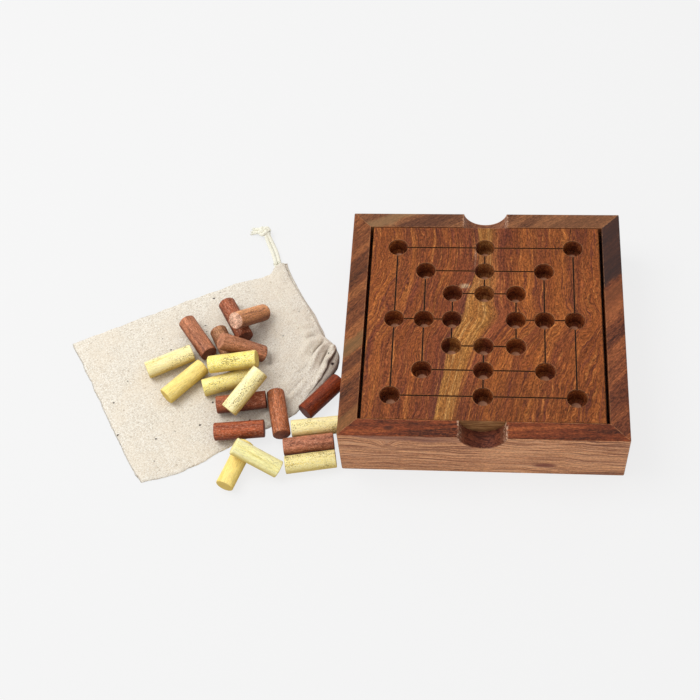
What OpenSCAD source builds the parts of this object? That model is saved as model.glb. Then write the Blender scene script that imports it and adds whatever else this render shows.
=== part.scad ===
// Nine men's morris set: a mitred wooden box whose lid is the drilled playing
// board, nine yellow and ten brown pegs, and a cotton bag with a drawstring.
// Millimetres. The origin is the centre of the box's underside, +Z is up.

/* [Box] */
// Width of the box, side to side
box_w = 135; // [124:1:180]
// Depth of the box, front to back
box_l = 132; // [124:1:180]
// Height of the box
box_h = 33; // [26:0.5:60]
// Thickness of the four rails
rail_t = 9; // [6:0.5:12]
// Radius along the rails' outer edges
edge_r = 1; // [0.4:0.1:2]
// Thickness of the bottom panel
base_t = 4; // [2:0.5:6]
// How far the bottom panel is let into each rail
rebate_w = 4.5; // [2:0.5:5.5]
// Thickness of the ledge strips that carry the board
ledge_t = 4; // [3:0.5:8]
// Width of a finger notch at the top of its rail
notch_w = 22; // [16:1:40]
// Depth of a finger notch
notch_d = 9.5; // [5:0.5:10.5]

/* [Playing board] */
// Thickness of the board
board_t = 11; // [10.5:0.5:14]
// Gap between the board and each side rail, which lets the wood move
side_gap = 1.7; // [0.5:0.1:2.5]
// Gap between the board and the front and back rails
end_gap = 0.2; // [0.1:0.05:1]
// Side of the inner square, from hole centre to hole centre
inner_square = 31; // [28:0.5:36]
// Side of the middle square
middle_square = 58.5; // [52:0.5:64]
// Side of the outer square
outer_square = 87.5; // [84:0.5:92]
// Diameter of a peg hole
hole_d = 9.4; // [9.2:0.1:11]
// Depth of a peg hole
hole_depth = 8; // [5:0.5:9]
// Chamfer at the mouth of a hole
hole_chamfer = 0.3; // [0.1:0.1:0.6]
// Width of the cut lines
line_w = 0.8; // [0.5:0.1:1.5]
// Depth of the cut lines
line_d = 0.6; // [0.3:0.1:1.5]
// Chamfer round the board's top edge
board_chamfer = 0.5; // [0.2:0.1:1]

/* [Pegs] */
// Diameter of a peg
peg_d = 9; // [7:0.1:9]
// Length of a peg
peg_len = 25; // [20:0.5:32]
// Chamfer on a peg's ends
peg_chamfer = 0.5; // [0.2:0.1:1]

/* [Bag] */
// Length of the bag, mouth to closed end
bag_len = 122; // [110:1:160]
// Width of the bag
bag_w = 91; // [86:1:120]
// Thickness of the empty bag where it lies flat
bag_t = 1.6; // [1:0.1:2.4]
// Width of the hem that the drawstring runs in
hem_w = 11; // [9:0.5:14]
// Thickness of the hem with the drawstring in it
hem_t = 2.6; // [2.2:0.1:4]
// Height of the gathered cloth above the flat bag
gather_h = 3; // [1:0.5:5]
// Diameter of the drawstring
cord_d = 2; // [1.5:0.1:2.2]
// Diameter of the drawstring's knot
knot_d = 6; // [5:0.5:8]

/* [Hidden] */
$fn = 64;

over = 0.01;              // how far a cutter runs past the face it opens
inner_w = box_w - 2 * rail_t;
inner_l = box_l - 2 * rail_t;
ledge_h = box_h - base_t - board_t;
board_w = inner_w - 2 * side_gap;
board_l = inner_l - 2 * end_gap;
notch_r = (notch_w * notch_w / 4 + notch_d * notch_d) / (2 * notch_d);

// The box

// A strip of waste that leaves a quarter round of radius edge_r, along +X
module edge_waste(length) {
    difference() {
        translate([-length / 2, -over, -edge_r])
            cube([length, edge_r + over, edge_r + over]);
        translate([-length / 2 - over, edge_r, -edge_r])
            rotate([0, 90, 0]) cylinder(r = edge_r, h = length + 2 * over);
    }
}

// The waste along the four top edges and the four upright corners
module outer_edge_waste() {
    for (side = [0, 180]) rotate([0, 0, side]) {
        translate([0, -box_l / 2, box_h]) edge_waste(box_w + 2 * over);
        translate([box_w / 2, 0, box_h]) rotate([0, 0, 90]) edge_waste(box_l + 2 * over);
        translate([box_w / 2, -box_l / 2, box_h / 2]) rotate([0, 90, 90]) mirror([0, 0, 1])
            edge_waste(box_h + 2 * over);
        translate([-box_w / 2, -box_l / 2, box_h / 2]) rotate([0, 90, 0]) mirror([0, 0, 1])
            edge_waste(box_h + 2 * over);
    }
}

// A rail along the front: its ends are mitred at 45 degrees
module mitred_rail(width, length) {
    linear_extrude(box_h)
        polygon([[-width / 2, -length / 2], [width / 2, -length / 2],
                 [width / 2 - rail_t, -length / 2 + rail_t],
                 [-width / 2 + rail_t, -length / 2 + rail_t]]);
}

module base_pocket() {
    translate([0, 0, base_t / 2 - over / 2])
        cube([inner_w + 2 * rebate_w, inner_l + 2 * rebate_w, base_t + over], center = true);
}

module finger_notch() {
    translate([0, 0, box_h + notch_r - notch_d]) rotate([90, 0, 0])
        cylinder(r = notch_r, h = box_l + 2, center = true, $fn = 96);
}

module end_rail(turn) {
    color([0.55, 0.33, 0.22]) difference() {
        rotate([0, 0, turn]) mitred_rail(box_w, box_l);
        base_pocket();
        outer_edge_waste();
        finger_notch();
    }
}

module side_rail(turn) {
    color([0.47, 0.28, 0.19]) difference() {
        rotate([0, 0, turn]) mitred_rail(box_l, box_w);
        base_pocket();
        outer_edge_waste();
    }
}

module base_panel() {
    color([0.62, 0.45, 0.3]) translate([0, 0, base_t / 2])
        cube([inner_w + 2 * rebate_w, inner_l + 2 * rebate_w, base_t], center = true);
}

// Ledge strips stand on the bottom panel: the end ones run right across
module end_ledge(side) {
    color([0.5, 0.32, 0.2])
        translate([0, side * (inner_l - ledge_t) / 2, base_t + ledge_h / 2])
            cube([inner_w, ledge_t, ledge_h], center = true);
}

module side_ledge(side) {
    color([0.5, 0.32, 0.2])
        translate([side * (inner_w - ledge_t) / 2, 0, base_t + ledge_h / 2])
            cube([ledge_t, inner_l - 2 * ledge_t, ledge_h], center = true);
}

// The playing board: three squares, each with a hole at its corners and at
// the middle of its sides, and a line across from the inner to the outer one

squares = [inner_square, middle_square, outer_square];
around = [for (i = [-1:1], j = [-1:1]) if (i != 0 || j != 0) [i, j]];
hole_places = [for (s = squares, p = around) p * s / 2];

module peg_hole() {
    translate([0, 0, -hole_depth]) cylinder(d = hole_d, h = hole_depth + over);
    translate([0, 0, -hole_chamfer])
        cylinder(d1 = hole_d, d2 = hole_d + 2 * (hole_chamfer + over), h = hole_chamfer + over);
}

module cut_line(from, to) {
    middle = (from + to) / 2;
    size = [abs(to[0] - from[0]) + line_w, abs(to[1] - from[1]) + line_w, 2 * line_d];
    translate([middle[0], middle[1], 0]) cube(size, center = true);
}

module square_lines(s) {
    for (turn = [0:90:270]) rotate([0, 0, turn])
        cut_line([-s / 2, -s / 2], [s / 2, -s / 2]);
}

module cross_lines() {
    for (turn = [0:90:270]) rotate([0, 0, turn])
        cut_line([inner_square / 2, 0], [outer_square / 2, 0]);
}

module board_blank() {
    slope = board_chamfer * sqrt(2);
    difference() {
        translate([0, 0, -board_t / 2]) cube([board_w, board_l, board_t], center = true);
        for (turn = [0, 180]) rotate([0, 0, turn]) {
            translate([board_w / 2, 0, 0]) rotate([0, 45, 0])
                cube([slope, board_l + 2, slope], center = true);
            translate([0, board_l / 2, 0]) rotate([45, 0, 0])
                cube([board_w + 2, slope, slope], center = true);
        }
    }
}

module playing_board() {
    color([0.6, 0.33, 0.16]) translate([0, 0, box_h]) difference() {
        board_blank();
        for (p = hole_places) translate([p[0], p[1], 0]) peg_hole();
        for (s = squares) square_lines(s);
        cross_lines();
    }
}

// The pegs. A peg's place is [x, y, z, heading, tilt] of its middle: the
// heading is its direction in plan and the tilt is how far that end is up.
// Places are measured from the box's front left corner for a peg of 25 x 9,
// and the pile spreads when the pegs are larger.

peg_r = peg_d / 2;
spread = max(peg_len / 25, peg_d / 9);
pile_x = -box_w / 2;
pile_y = -box_l / 2;
rest_gap = 0.2;           // air under a peg that lies on the bag
touch_gap = 0.25;         // air between a peg and the peg that carries it
on_bag = bag_t + rest_gap;
on_table = 0;

function lying(x, y, heading, seat, tilt = 0) =
    [pile_x + x * spread, pile_y + y * spread, seat + peg_r, heading, tilt];

// Height of a crossing peg's axis over the axis of the peg that carries it
function cross_rise(turn, tilt) =
    (peg_d + touch_gap) * sqrt(1 + pow(tan(tilt) / sin(turn), 2));

// Tilt of a peg whose low end is on the carrier's own seat and which crosses
// the carrier at a share of its length, found by repeated substitution
function lean_tilt(turn, reach, tilt = 25, steps = 30) =
    steps == 0 ? tilt :
    lean_tilt(turn, reach,
              asin(min(0.95, (cross_rise(turn, tilt) + peg_r - peg_r * cos(tilt))
                             / (reach * peg_len))), steps - 1);

// A peg that crosses another: along is the crossing's distance from the
// carrier's middle, reach is its share of this peg's length from the low end
function crossing(carrier, along, heading, reach, tilt) =
    let (ahead = (0.5 - reach) * peg_len,
         x = carrier[0] + along * spread * cos(carrier[3]),
         y = carrier[1] + along * spread * sin(carrier[3]),
         z = carrier[2] + cross_rise(heading - carrier[3], tilt))
    [x + ahead * cos(tilt) * cos(heading), y + ahead * cos(tilt) * sin(heading),
     z + ahead * sin(tilt), heading, tilt];

function leaning(carrier, along, heading, reach) =
    crossing(carrier, along, heading, reach, lean_tilt(heading - carrier[3], reach));

brown_1 = lying(-79.1, 70.6, -54, on_bag);
brown_2 = lying(-60.5, 81.8, -60, on_bag);
brown_3 = leaning(brown_2, 9.3, -124, 0.856);
brown_4 = lying(-63.2, 64.2, -62, on_bag);
brown_5 = leaning(brown_4, 4.7, 185.5, 0.857);
brown_6 = lying(-52, 32.4, 9, on_bag);
brown_7 = lying(-32.7, 26.4, -77, on_bag);
brown_8 = lying(-51.2, 16.4, 6, on_bag);
brown_9 = lying(-16.5, 10.4, 9, on_table);
brown_10 = lying(-12.1, 37.8, 50, on_table);
brown_places = [brown_1, brown_2, brown_3, brown_4, brown_5,
                brown_6, brown_7, brown_8, brown_9, brown_10];

yellow_1 = lying(-91.6, 55.7, 27.5, on_bag);
yellow_2 = lying(-82.4, 44, 48, on_bag);
yellow_3 = lying(-57.1, 50.7, 4.5, on_bag + 0.96 * peg_d, 8);
yellow_4 = lying(-60.6, 44.2, 19, on_bag);
yellow_5 = crossing(brown_6, 2.9, 52, 0.49, 16);
yellow_6 = lying(-13.4, 20.4, 8, on_table);
yellow_7 = lying(-14.8, 0.8, 10, on_table);
yellow_9 = lying(-51.4, -1.8, 71, on_table);
yellow_8 = leaning(yellow_9, 4.3, 163.5, 0.946);
yellow_places = [yellow_1, yellow_2, yellow_3, yellow_4, yellow_5,
                 yellow_6, yellow_7, yellow_8, yellow_9];

module peg(place) {
    half = peg_len / 2;
    translate([place[0], place[1], place[2]]) rotate([0, 90 - place[4], place[3]])
        rotate_extrude()
            polygon([[0, -half], [peg_r - peg_chamfer, -half], [peg_r, -half + peg_chamfer],
                     [peg_r, half - peg_chamfer], [peg_r - peg_chamfer, half], [0, half]]);
}

// The bag lies flat: its own x axis runs out of the mouth, its y axis to the
// back, from the front corner of the mouth. That corner is drawn in.

bag_place = [pile_x + 3.4 * spread, pile_y + 43.6 * spread, 0];
bag_turn = 27;
gather_at = [-14, 24];
gather_r = 13;
bag_outline = [
    [0, bag_w - 2], [-8, bag_w - 2.5], [-14, bag_w - 5], [-28, bag_w - 1.5],
    [24 - bag_len, bag_w], [-bag_len, bag_w], [5 - bag_len, 16], [7.5 - bag_len, -2.5],
    [28 - bag_len, -5.5], [-67, -2.5], [-37, 0], [-29, 2.6], [-14, 10.5], [-7, 13.6],
    [-1.7, 17.5], [1, 23], [1.8, 28], [-1.2, 36.5], [0, 54]];

module bag_plan() {
    polygon(bag_outline);
}

module hem_band() {
    translate([-hem_w, -10]) square([hem_w + 10, bag_w + 20]);
}

module on_bag_place() {
    translate(bag_place) rotate([0, 0, bag_turn]) children();
}

module bag_body() {
    dome_r = (gather_r * gather_r + gather_h * gather_h) / (2 * gather_h);
    color([0.9, 0.86, 0.78]) on_bag_place() {
        linear_extrude(bag_t) difference() {
            bag_plan();
            hem_band();
        }
        difference() {
            translate([gather_at[0], gather_at[1], bag_t + gather_h - dome_r])
                sphere(r = dome_r, $fn = 96);
            translate([-dome_r - bag_len, -2 * dome_r, -2 * dome_r])
                cube([2 * dome_r + 2 * bag_len, 4 * dome_r + bag_w, 2 * dome_r + bag_t / 2]);
            translate([-hem_w, -dome_r, -over]) cube(2 * dome_r + bag_w);
        }
    }
}

module bag_hem() {
    color([0.88, 0.84, 0.75]) on_bag_place() linear_extrude(hem_t) intersection() {
        bag_plan();
        hem_band();
    }
}

// The drawstring leaves the hem's back end as two strands, tied in one knot.
// The routes' points are [x, y, z] from the exit, in the box's axes.

exit_at = [-5.7, bag_w - 2.3];
exit_x = bag_place[0] + exit_at[0] * cos(bag_turn) - exit_at[1] * sin(bag_turn);
exit_y = bag_place[1] + exit_at[0] * sin(bag_turn) + exit_at[1] * cos(bag_turn);
strand_sides = 8;
strand_1_route = [
    [0.4, -3.2, 1.5], [-1.2, 0.2, 1.5], [-2.2, 3.5, 1.2], [-3.8, 7.5, 1.1],
    [-5.8, 11.5, 1.1], [-8, 15, 1.3], [-9.8, 18.4, 1.8], [-11.2, 21.8, 2.6],
    [-13.4, 24, 2.2], [-16.4, 25, 1.4], [-19, 26.6, 1.1]];
strand_2_route = [
    [2.3, -2.2, 1.5], [1, 0.6, 1.5], [0, 4.4, 1.2], [-1.6, 8.4, 1.1],
    [-3.8, 12.6, 1.1], [-6, 16.2, 1.3], [-8.2, 19.6, 1.8], [-10.2, 22.8, 3],
    [-13, 25.6, 2.4], [-15.6, 28, 1.4], [-17.6, 30.4, 1.1]];
knot_at = [-11.2, 22.9];

function unit(v) = v / norm(v);
function heading_at(route, i) =
    unit(route[min(i + 1, len(route) - 1)] - route[max(i - 1, 0)]);
function ring_at(route, i) =
    let (along = heading_at(route, i),
         sideways = unit(cross(along, [0, 0, 1])),
         upward = cross(sideways, along))
    [for (k = [0:strand_sides - 1])
        let (a = 360 * k / strand_sides)
        route[i] + cord_d / 2 * (cos(a) * sideways + sin(a) * upward)];

// A round tube swept along a route's points
module tube(route) {
    last = len(route) - 1;
    n = strand_sides;
    points = [for (i = [0:last]) each ring_at(route, i)];
    walls = [for (i = [0:last - 1], k = [0:n - 1])
        [i * n + k, i * n + (k + 1) % n, (i + 1) * n + (k + 1) % n, (i + 1) * n + k]];
    first_cap = [[for (k = [n - 1:-1:0]) k]];
    last_cap = [[for (k = [0:n - 1]) last * n + k]];
    polyhedron(points, concat(walls, first_cap, last_cap));
}

module drawstring_strand(route) {
    color([0.94, 0.93, 0.88]) translate([exit_x, exit_y, 0]) tube(route);
}

module drawstring_knot() {
    small_r = 0.4 * knot_d;
    color([0.94, 0.93, 0.88])
        translate([exit_x + knot_at[0], exit_y + knot_at[1], 0]) {
            translate([0, 0, knot_d / 2]) sphere(d = knot_d);
            translate([1.2, -1.8, small_r]) sphere(r = small_r);
        }
}

end_rail(0);  // front_rail
end_rail(180);  // back_rail
side_rail(-90);  // left_rail
side_rail(90);  // right_rail
base_panel();
end_ledge(-1);  // front_ledge
end_ledge(1);  // back_ledge
side_ledge(-1);  // left_ledge
side_ledge(1);  // right_ledge
playing_board();
for (i = [0:len(yellow_places) - 1])
    color([0.93, 0.86, 0.5]) peg(yellow_places[i]);
for (i = [0:len(brown_places) - 1])
    color([0.58, 0.33, 0.24]) peg(brown_places[i]);
bag_body();
bag_hem();
drawstring_strand(strand_1_route);  // drawstring_strand_1
drawstring_strand(strand_2_route);  // drawstring_strand_2
drawstring_knot();
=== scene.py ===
# %% [markdown]
# This is a peg version of nine men's morris. The drilled board is the lid of a
# shallow box, and its pegs live in a cotton bag. The box, the board and the
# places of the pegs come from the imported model, which is loaded first and never
# moved. Blender gives those solids their wood, and models the bag, its cord and
# the worn pegs anew, because cloth and string need forms that a solid lacks.

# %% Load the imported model
import math
import random

import bmesh
import bpy
import numpy as np
from mathutils import Matrix, Vector, noise


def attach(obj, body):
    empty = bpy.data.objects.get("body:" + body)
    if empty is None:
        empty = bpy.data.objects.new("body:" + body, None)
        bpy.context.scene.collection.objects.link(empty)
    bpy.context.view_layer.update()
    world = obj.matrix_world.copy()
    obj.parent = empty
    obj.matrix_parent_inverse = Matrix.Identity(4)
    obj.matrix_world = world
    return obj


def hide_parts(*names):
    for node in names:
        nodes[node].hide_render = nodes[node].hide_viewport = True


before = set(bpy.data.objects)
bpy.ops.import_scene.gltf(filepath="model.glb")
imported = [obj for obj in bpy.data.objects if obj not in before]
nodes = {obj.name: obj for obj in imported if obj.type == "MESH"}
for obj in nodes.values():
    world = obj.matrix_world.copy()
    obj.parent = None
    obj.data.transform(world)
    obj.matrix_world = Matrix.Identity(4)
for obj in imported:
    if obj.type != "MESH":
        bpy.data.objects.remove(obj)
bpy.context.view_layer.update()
scene = bpy.context.scene
MM = 0.001
print("nodes loaded:", len(nodes))

# %% [markdown]
# The camera comes first. It was fitted to the corners of the box and the centres
# of the holes. A camera could be turned by Euler angles, but three unit vectors
# say more plainly where it looks: back towards the eye, right, and up, with a
# small roll at the end.

# %% Place the camera
LENS = 67.85
TURN = math.radians(10.20)
RISE = math.radians(56.54)
ROLL = math.radians(-7.60)
AIM = Vector((-68.03, 2.56, 0)) * MM
DISTANCE = 677.0 * MM

back = Vector((math.sin(TURN) * math.cos(RISE), -math.cos(TURN) * math.cos(RISE), math.sin(RISE)))
level = Vector((math.cos(TURN), math.sin(TURN), 0))
upright = back.cross(level)
right = level * math.cos(ROLL) + upright * math.sin(ROLL)
up = upright * math.cos(ROLL) - level * math.sin(ROLL)
bpy.ops.object.camera_add(location=AIM + back * DISTANCE)
camera = bpy.context.object
camera.rotation_euler = Matrix((right, up, back)).transposed().to_euler()
camera.data.lens = LENS
camera.data.clip_start = 0.01
scene.camera = camera
print("camera at", tuple(round(c, 3) for c in camera.location))

# %% [markdown]
# Two strands of soft cotton cord leave the hem of the bag, run side by side and
# are tied in one knot. Each strand follows the route that its solid has. A round
# tube would look like wire, so the section has three lobes that turn along the
# route, as the three plies of a twisted cord do.

# %% Helpers for curved pieces
FINE = 24


def smooth_route(points, step):
    """Points a step apart on a smooth curve through the given ones, in mm."""
    knots = [Vector(p) for p in points]
    knots = [knots[0] * 2 - knots[1], *knots, knots[-1] * 2 - knots[-2]]
    dense = []
    for a, b, c, d in zip(knots, knots[1:], knots[2:], knots[3:]):
        for i in range(FINE):
            t = i / FINE
            dense.append(0.5 * (2 * b + (c - a) * t + (2 * a - 5 * b + 4 * c - d) * t * t
                                + (3 * b - a - 3 * c + d) * t * t * t))
    dense.append(knots[-2])
    run = np.concatenate([[0], np.cumsum([(q - p).length for p, q in zip(dense, dense[1:])])])
    count = max(2, round(run[-1] / step) + 1)
    wanted = np.linspace(0, run[-1], count)
    flat = np.array(dense)
    return np.stack([np.interp(wanted, run, flat[:, i]) for i in range(3)], axis=1)


def carried_frames(line):
    """Directions beside and over a line at each point, without a sudden turn."""
    along = np.gradient(line, axis=0)
    along /= np.linalg.norm(along, axis=1)[:, None]
    side = np.cross(along[0], (0, 0, 1))
    frames = []
    for direction in along:
        side = side - direction * (side @ direction)
        side = side / np.linalg.norm(side)
        frames.append((side, np.cross(side, direction)))
    return frames


def lengths_along(line):
    """How far along a line each of its points is."""
    return np.concatenate([[0], np.cumsum(np.linalg.norm(np.diff(line, axis=0), axis=1))])


print("a route of 10 mm has", len(smooth_route([(0, 0, 0), (10, 0, 0)], 1.0)), "points 1 mm apart")


# %% Helpers for meshes
def add_mesh(name, points, faces):
    """A new smooth object from points in mm and faces."""
    mesh = bpy.data.meshes.new(name)
    mesh.from_pydata([tuple(p) for p in np.asarray(points) * MM], [], faces)
    mesh.update()
    mesh.polygons.foreach_set("use_smooth", [True] * len(mesh.polygons))
    made = bpy.data.objects.new(name, mesh)
    scene.collection.objects.link(made)
    return made


def tube_mesh(rings, closed=False):
    """Points and faces of a skin over equal rings, with its ends capped."""
    count, sides = len(rings), len(rings[0])
    points = [p for ring in rings for p in ring]
    spans = count if closed else count - 1
    faces = []
    for i in range(spans):
        for k in range(sides):
            here, there = i * sides, (i + 1) % count * sides
            faces.append((here + k, here + (k + 1) % sides, there + (k + 1) % sides, there + k))
    if not closed:
        faces.append(tuple(range(sides))[::-1])
        faces.append(tuple((count - 1) * sides + k for k in range(sides)))
    return points, faces


corner = np.array(((0, 0, 0), (1, 0, 0), (0, 1, 0)))
print("a tube with three sides has", len(tube_mesh([corner, corner + 1])[1]), "faces")

# %% Twist the cord
CORD_R = 1.0
PLIES = 3
PLY_TURN = 5.5
CORD_SIDES = 24
ROUTE_STEP = 0.35


def ply_ring(centre, side, over, run, radius):
    """One section of a twisted cord, turned by how far along it is."""
    ring = []
    for k in range(CORD_SIDES):
        a = math.tau * k / CORD_SIDES
        lobe = abs(math.cos(PLIES / 2 * (a - math.tau * run / PLY_TURN)))
        reach = radius * (0.78 + 0.26 * lobe ** 0.7)
        ring.append(centre + reach * (math.cos(a) * side + math.sin(a) * over))
    return ring


def twisted_cord(name, line, radius=CORD_R, closed=False):
    """A cord of three plies along a line."""
    rings = []
    for i, (centre, (side, over)) in enumerate(zip(line, carried_frames(line))):
        rings.append(ply_ring(centre, side, over, ROUTE_STEP * i, radius))
    return add_mesh(name, *tube_mesh(rings, closed))


print("the cord has", PLIES, "plies, which turn once in", PLY_TURN, "mm")

# %% Lay the two strands
BAG_CORNER = Vector((-64.1, -22.4, 0))
BAG_TURN = math.radians(27)
BAG_WIDTH = 91
EXIT_X = -6.2
EXIT_IN_BAG = Vector((EXIT_X, BAG_WIDTH - 2.0, 0))
cord_exit = BAG_CORNER + Matrix.Rotation(BAG_TURN, 3, "Z") @ EXIT_IN_BAG
# Points of each strand from its place in the hem, past the knot, to the frayed end
STRAND_ROUTES = (
    ((1.6, -6.4, 1.25), (-0.9, -0.6, 1.25), (-2.0, 3.5, 1.1), (-3.3, 7.5, 1.1),
     (-4.9, 11.5, 1.1), (-6.6, 15, 1.4), (-8.0, 18.4, 2.2), (-9.2, 21.2, 3.2),
     (-11.4, 22.6, 2.8), (-13.9, 22.9, 1.8), (-16.0, 23.2, 1.2)),
    ((3.4, -5.6, 1.25), (1.0, -0.2, 1.25), (-0.1, 4.2, 1.1), (-1.3, 8.2, 1.1),
     (-3.0, 12.4, 1.1), (-4.8, 15.9, 1.4), (-6.5, 19.2, 2.2), (-8.5, 22.2, 3.4),
     (-11.0, 24.2, 2.8), (-13.4, 25.0, 1.8), (-15.4, 25.4, 1.2)))
BAG_BODY = "bag"
strands = []
strand_lines = []
for number, route in enumerate(STRAND_ROUTES, 1):
    line = smooth_route([cord_exit + Vector(p) for p in route], ROUTE_STEP)
    strand = twisted_cord(f"drawstring_{number}", line)
    strands.append(strand)
    strand_lines.append(line)
    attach(strand, BAG_BODY)
    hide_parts(f"drawstring_strand_{number}")
    print(strand.name, "is", round(float(lengths_along(line)[-1]), 1), "mm")

# %% [markdown]
# The knot is an overhand knot pulled tight. It could be a lump, but a lump has
# no crossings to catch the light. The line of an overhand knot is a trefoil, so
# a third twisted cord follows a small trefoil round the two strands. Past the
# knot the strands end in short tails, and their plies come apart in a tuft.

# %% Tie the knot
KNOT_PLACE = cord_exit + Vector((-9.6, 22.8, 3.0))
KNOT_POINTS = 120
KNOT_OUT = 1.7
KNOT_WAVE = 0.85
KNOT_HEIGHT = 0.95
KNOT_CORD_R = 1.05
knot_line = []
for i in range(KNOT_POINTS):
    a = math.tau * i / KNOT_POINTS
    out = KNOT_OUT + KNOT_WAVE * math.cos(3 * a)
    trefoil = Vector((out * math.cos(2 * a), out * math.sin(2 * a), KNOT_HEIGHT * math.sin(3 * a)))
    knot_line.append(KNOT_PLACE + trefoil)
knot_line = smooth_route([*knot_line, knot_line[0]], ROUTE_STEP)[:-1]
knot = twisted_cord("knot", knot_line, KNOT_CORD_R, closed=True)
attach(knot, BAG_BODY)
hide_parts("drawstring_knot")
print("knot is", [round(c * 1000, 1) for c in knot.dimensions], "mm")

# %% Helpers for threads
THREAD_SIDES = 6
THREAD_STEP = 0.6


def thin_tube(line, radius):
    """The skin of one thread."""
    rings = []
    for centre, (side, over) in zip(line, carried_frames(line)):
        angles = [math.tau * k / THREAD_SIDES for k in range(THREAD_SIDES)]
        rings.append([centre + radius * (math.cos(a) * side + math.sin(a) * over) for a in angles])
    return tube_mesh(rings)


def joined(parts):
    """Points and faces of several skins, as one."""
    points, faces = [], []
    for more_points, more_faces in parts:
        faces += [tuple(i + len(points) for i in face) for face in more_faces]
        points += list(more_points)
    return points, faces


def bent_thread(start, middle, tip, radius):
    return thin_tube(smooth_route([start, middle, tip], THREAD_STEP), radius)


print("each thread has", THREAD_SIDES, "sides")

# %% Fray the tails
random.seed(9)
TUFT_THREADS = 40
THREAD_R = 0.13
tufts = []
for number, line in enumerate(strand_lines, 1):
    end = Vector(line[-1])
    ahead = Vector(line[-1] - line[-6]).normalized()
    threads = []
    for _ in range(TUFT_THREADS):
        spread = Vector((random.uniform(-1, 1), random.uniform(-1, 1), random.uniform(-0.5, 0.8)))
        start = end - ahead * 1.2 + spread * 0.55
        reach = random.uniform(1.4, 2.4)
        middle = start + ahead * reach * 0.5 + spread * 0.3
        tip = start + ahead * reach + spread * random.uniform(0.3, 0.9)
        tip.z = max(tip.z - 0.5, 0.25)
        threads.append(bent_thread(start, middle, tip, THREAD_R))
    tuft = add_mesh(f"frayed_end_{number}", *joined(threads))
    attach(tuft, BAG_BODY)
    tufts.append(tuft)
print("tufts:", [tuft.name for tuft in tufts])

# %% Add the fuzz where the cord leaves the hem
FUZZ_THREADS = 34
FUZZ_R = 0.2
threads = []
for _ in range(FUZZ_THREADS):
    heading = random.uniform(-1.3, 1.9)
    away = Vector((math.sin(heading - 0.35), math.cos(heading - 0.35), 0))
    root = Vector((random.uniform(-2.4, 1.6), random.uniform(0.4, 2.6), random.uniform(0.6, 2.4)))
    start = cord_exit + root
    bend = Vector((random.uniform(-0.5, 0.5), random.uniform(-0.5, 0.5), 0.2))
    reach = random.uniform(1.2, 3.0)
    tip = start + away * reach
    tip.z = random.uniform(0.3, 1.1)
    threads.append(bent_thread(start, start + away * reach * 0.5 + bend, tip, FUZZ_R))
fuzz = add_mesh("fuzz_at_the_hem", *joined(threads))
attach(fuzz, BAG_BODY)
tufts.append(fuzz)

print("threads of fuzz:", len(threads))

# %% [markdown]
# The bag is a flat sleeve of calico, sewn shut at its far end and along its two
# sides. Its empty layers lie on the table and lift only a little, most of all at
# the front corner of the mouth, where the drawstring has pulled the cloth into
# folds. The sleeve could be draped by simulation, but the folds here are few and
# each has its place, so every fold is a drawn line that raises or lowers the
# cloth near it. The layers are then given their thickness.

# %% Draw the outline of the bag
# Each layer's edges in bag coordinates, whose x runs to the mouth and y to the back edge
TOP_FRONT = ((-113.5, -1.6), (-94, -4.6), (-67, -1.6), (-37, 0.9), (-29, 3.7), (-21, 8.6),
             (-14.6, 13.0), (-12, 15.0), (-7.6, 18.3), (-5.1, 21.1), (-2.2, 23.4), (1.6, 26.9))
TOP_MOUTH = ((1.6, 26.9), (1.5, 28.3), (0.2, 31.4), (-1.6, 35.9), (-1.8, 41), (-1.6, 47), (-1.8, 53),
             (-2.0, 60), (-3, 69.6), (-3.3, 76.3), (-3.3, 83.6), (-2.6, 89.0))
UNDER_FRONT = ((-114.6, -2.5), (-94, -5.5), (-67, -2.5), (-37, 0), (-29, 2.4), (-14, 9.8), (-7, 13.2),
               (-1.6, 17.4), (1.0, 22.3))
UNDER_MOUTH = ((1.0, 22.3), (1.4, 27.4), (0.2, 31.8), (-0.6, 36.3), (-0.2, 40.2), (-0.3, 45.9),
               (-0.1, 52.1), (-1.0, 60), (-1.6, 69.5), (-1.6, 83.5), (-0.8, 89.6))
BACK_EDGE = ((-121.8, 90.8), (-98, 90.3), (-60, 89.7), (-28.6, 88.7), (-14, 86.4), (-8.2, 88.4),
             (-3.4, 89.9), (-0.8, 89.6))
CLOSED_END = ((-114.6, -2.5), (-117, 16), (-121.8, 90.8))
TOP_END = ((-113.5, -1.6), (-116, 16), (-120.6, 89.9))
TOP_BACK = (TOP_END[-1], *BACK_EDGE[1:-1], TOP_MOUTH[-1])
print("points of the outline:", len(TOP_FRONT) + len(TOP_MOUTH) + len(TOP_BACK) + len(TOP_END))

# %% Fill the outline with a grid
SLEEVE_LENGTH = 119
SLEEVE_WIDTH = 90
EDGE_REACH = 3
ROWS = 170
ACROSS = 112
# The rows lie closer together at the mouth, and the columns at the front edge
row_share = np.linspace(0, 1, ROWS) * (1.6 - 0.6 * np.linspace(0, 1, ROWS))
column_share = np.linspace(0, 1, ACROSS) * (0.5 + 0.5 * np.linspace(0, 1, ACROSS))


def edge_line(points, shares):
    """Points at these shares of a smooth flat curve's length."""
    fine = smooth_route([(x, y, 0) for x, y in points], 0.2)[:, :2]
    run = lengths_along(fine)
    return np.stack([np.interp(shares * run[-1], run, fine[:, i]) for i in (0, 1)], axis=1)


def patch(front, back_edge, closed, mouth):
    """A flat grid that fills four edges, as rows from the closed end to the mouth."""
    f, b = edge_line(front, row_share)[:, None], edge_line(back_edge, row_share)[:, None]
    c, m = edge_line(closed, column_share)[None], edge_line(mouth, column_share)[None]
    u = row_share[:, None, None]
    v = column_share[None, :, None]
    corners = (1 - u) * ((1 - v) * f[0] + v * b[0]) + u * ((1 - v) * f[-1] + v * b[-1])
    return (1 - v) * f + v * b + (1 - u) * c + u * m - corners


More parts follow.
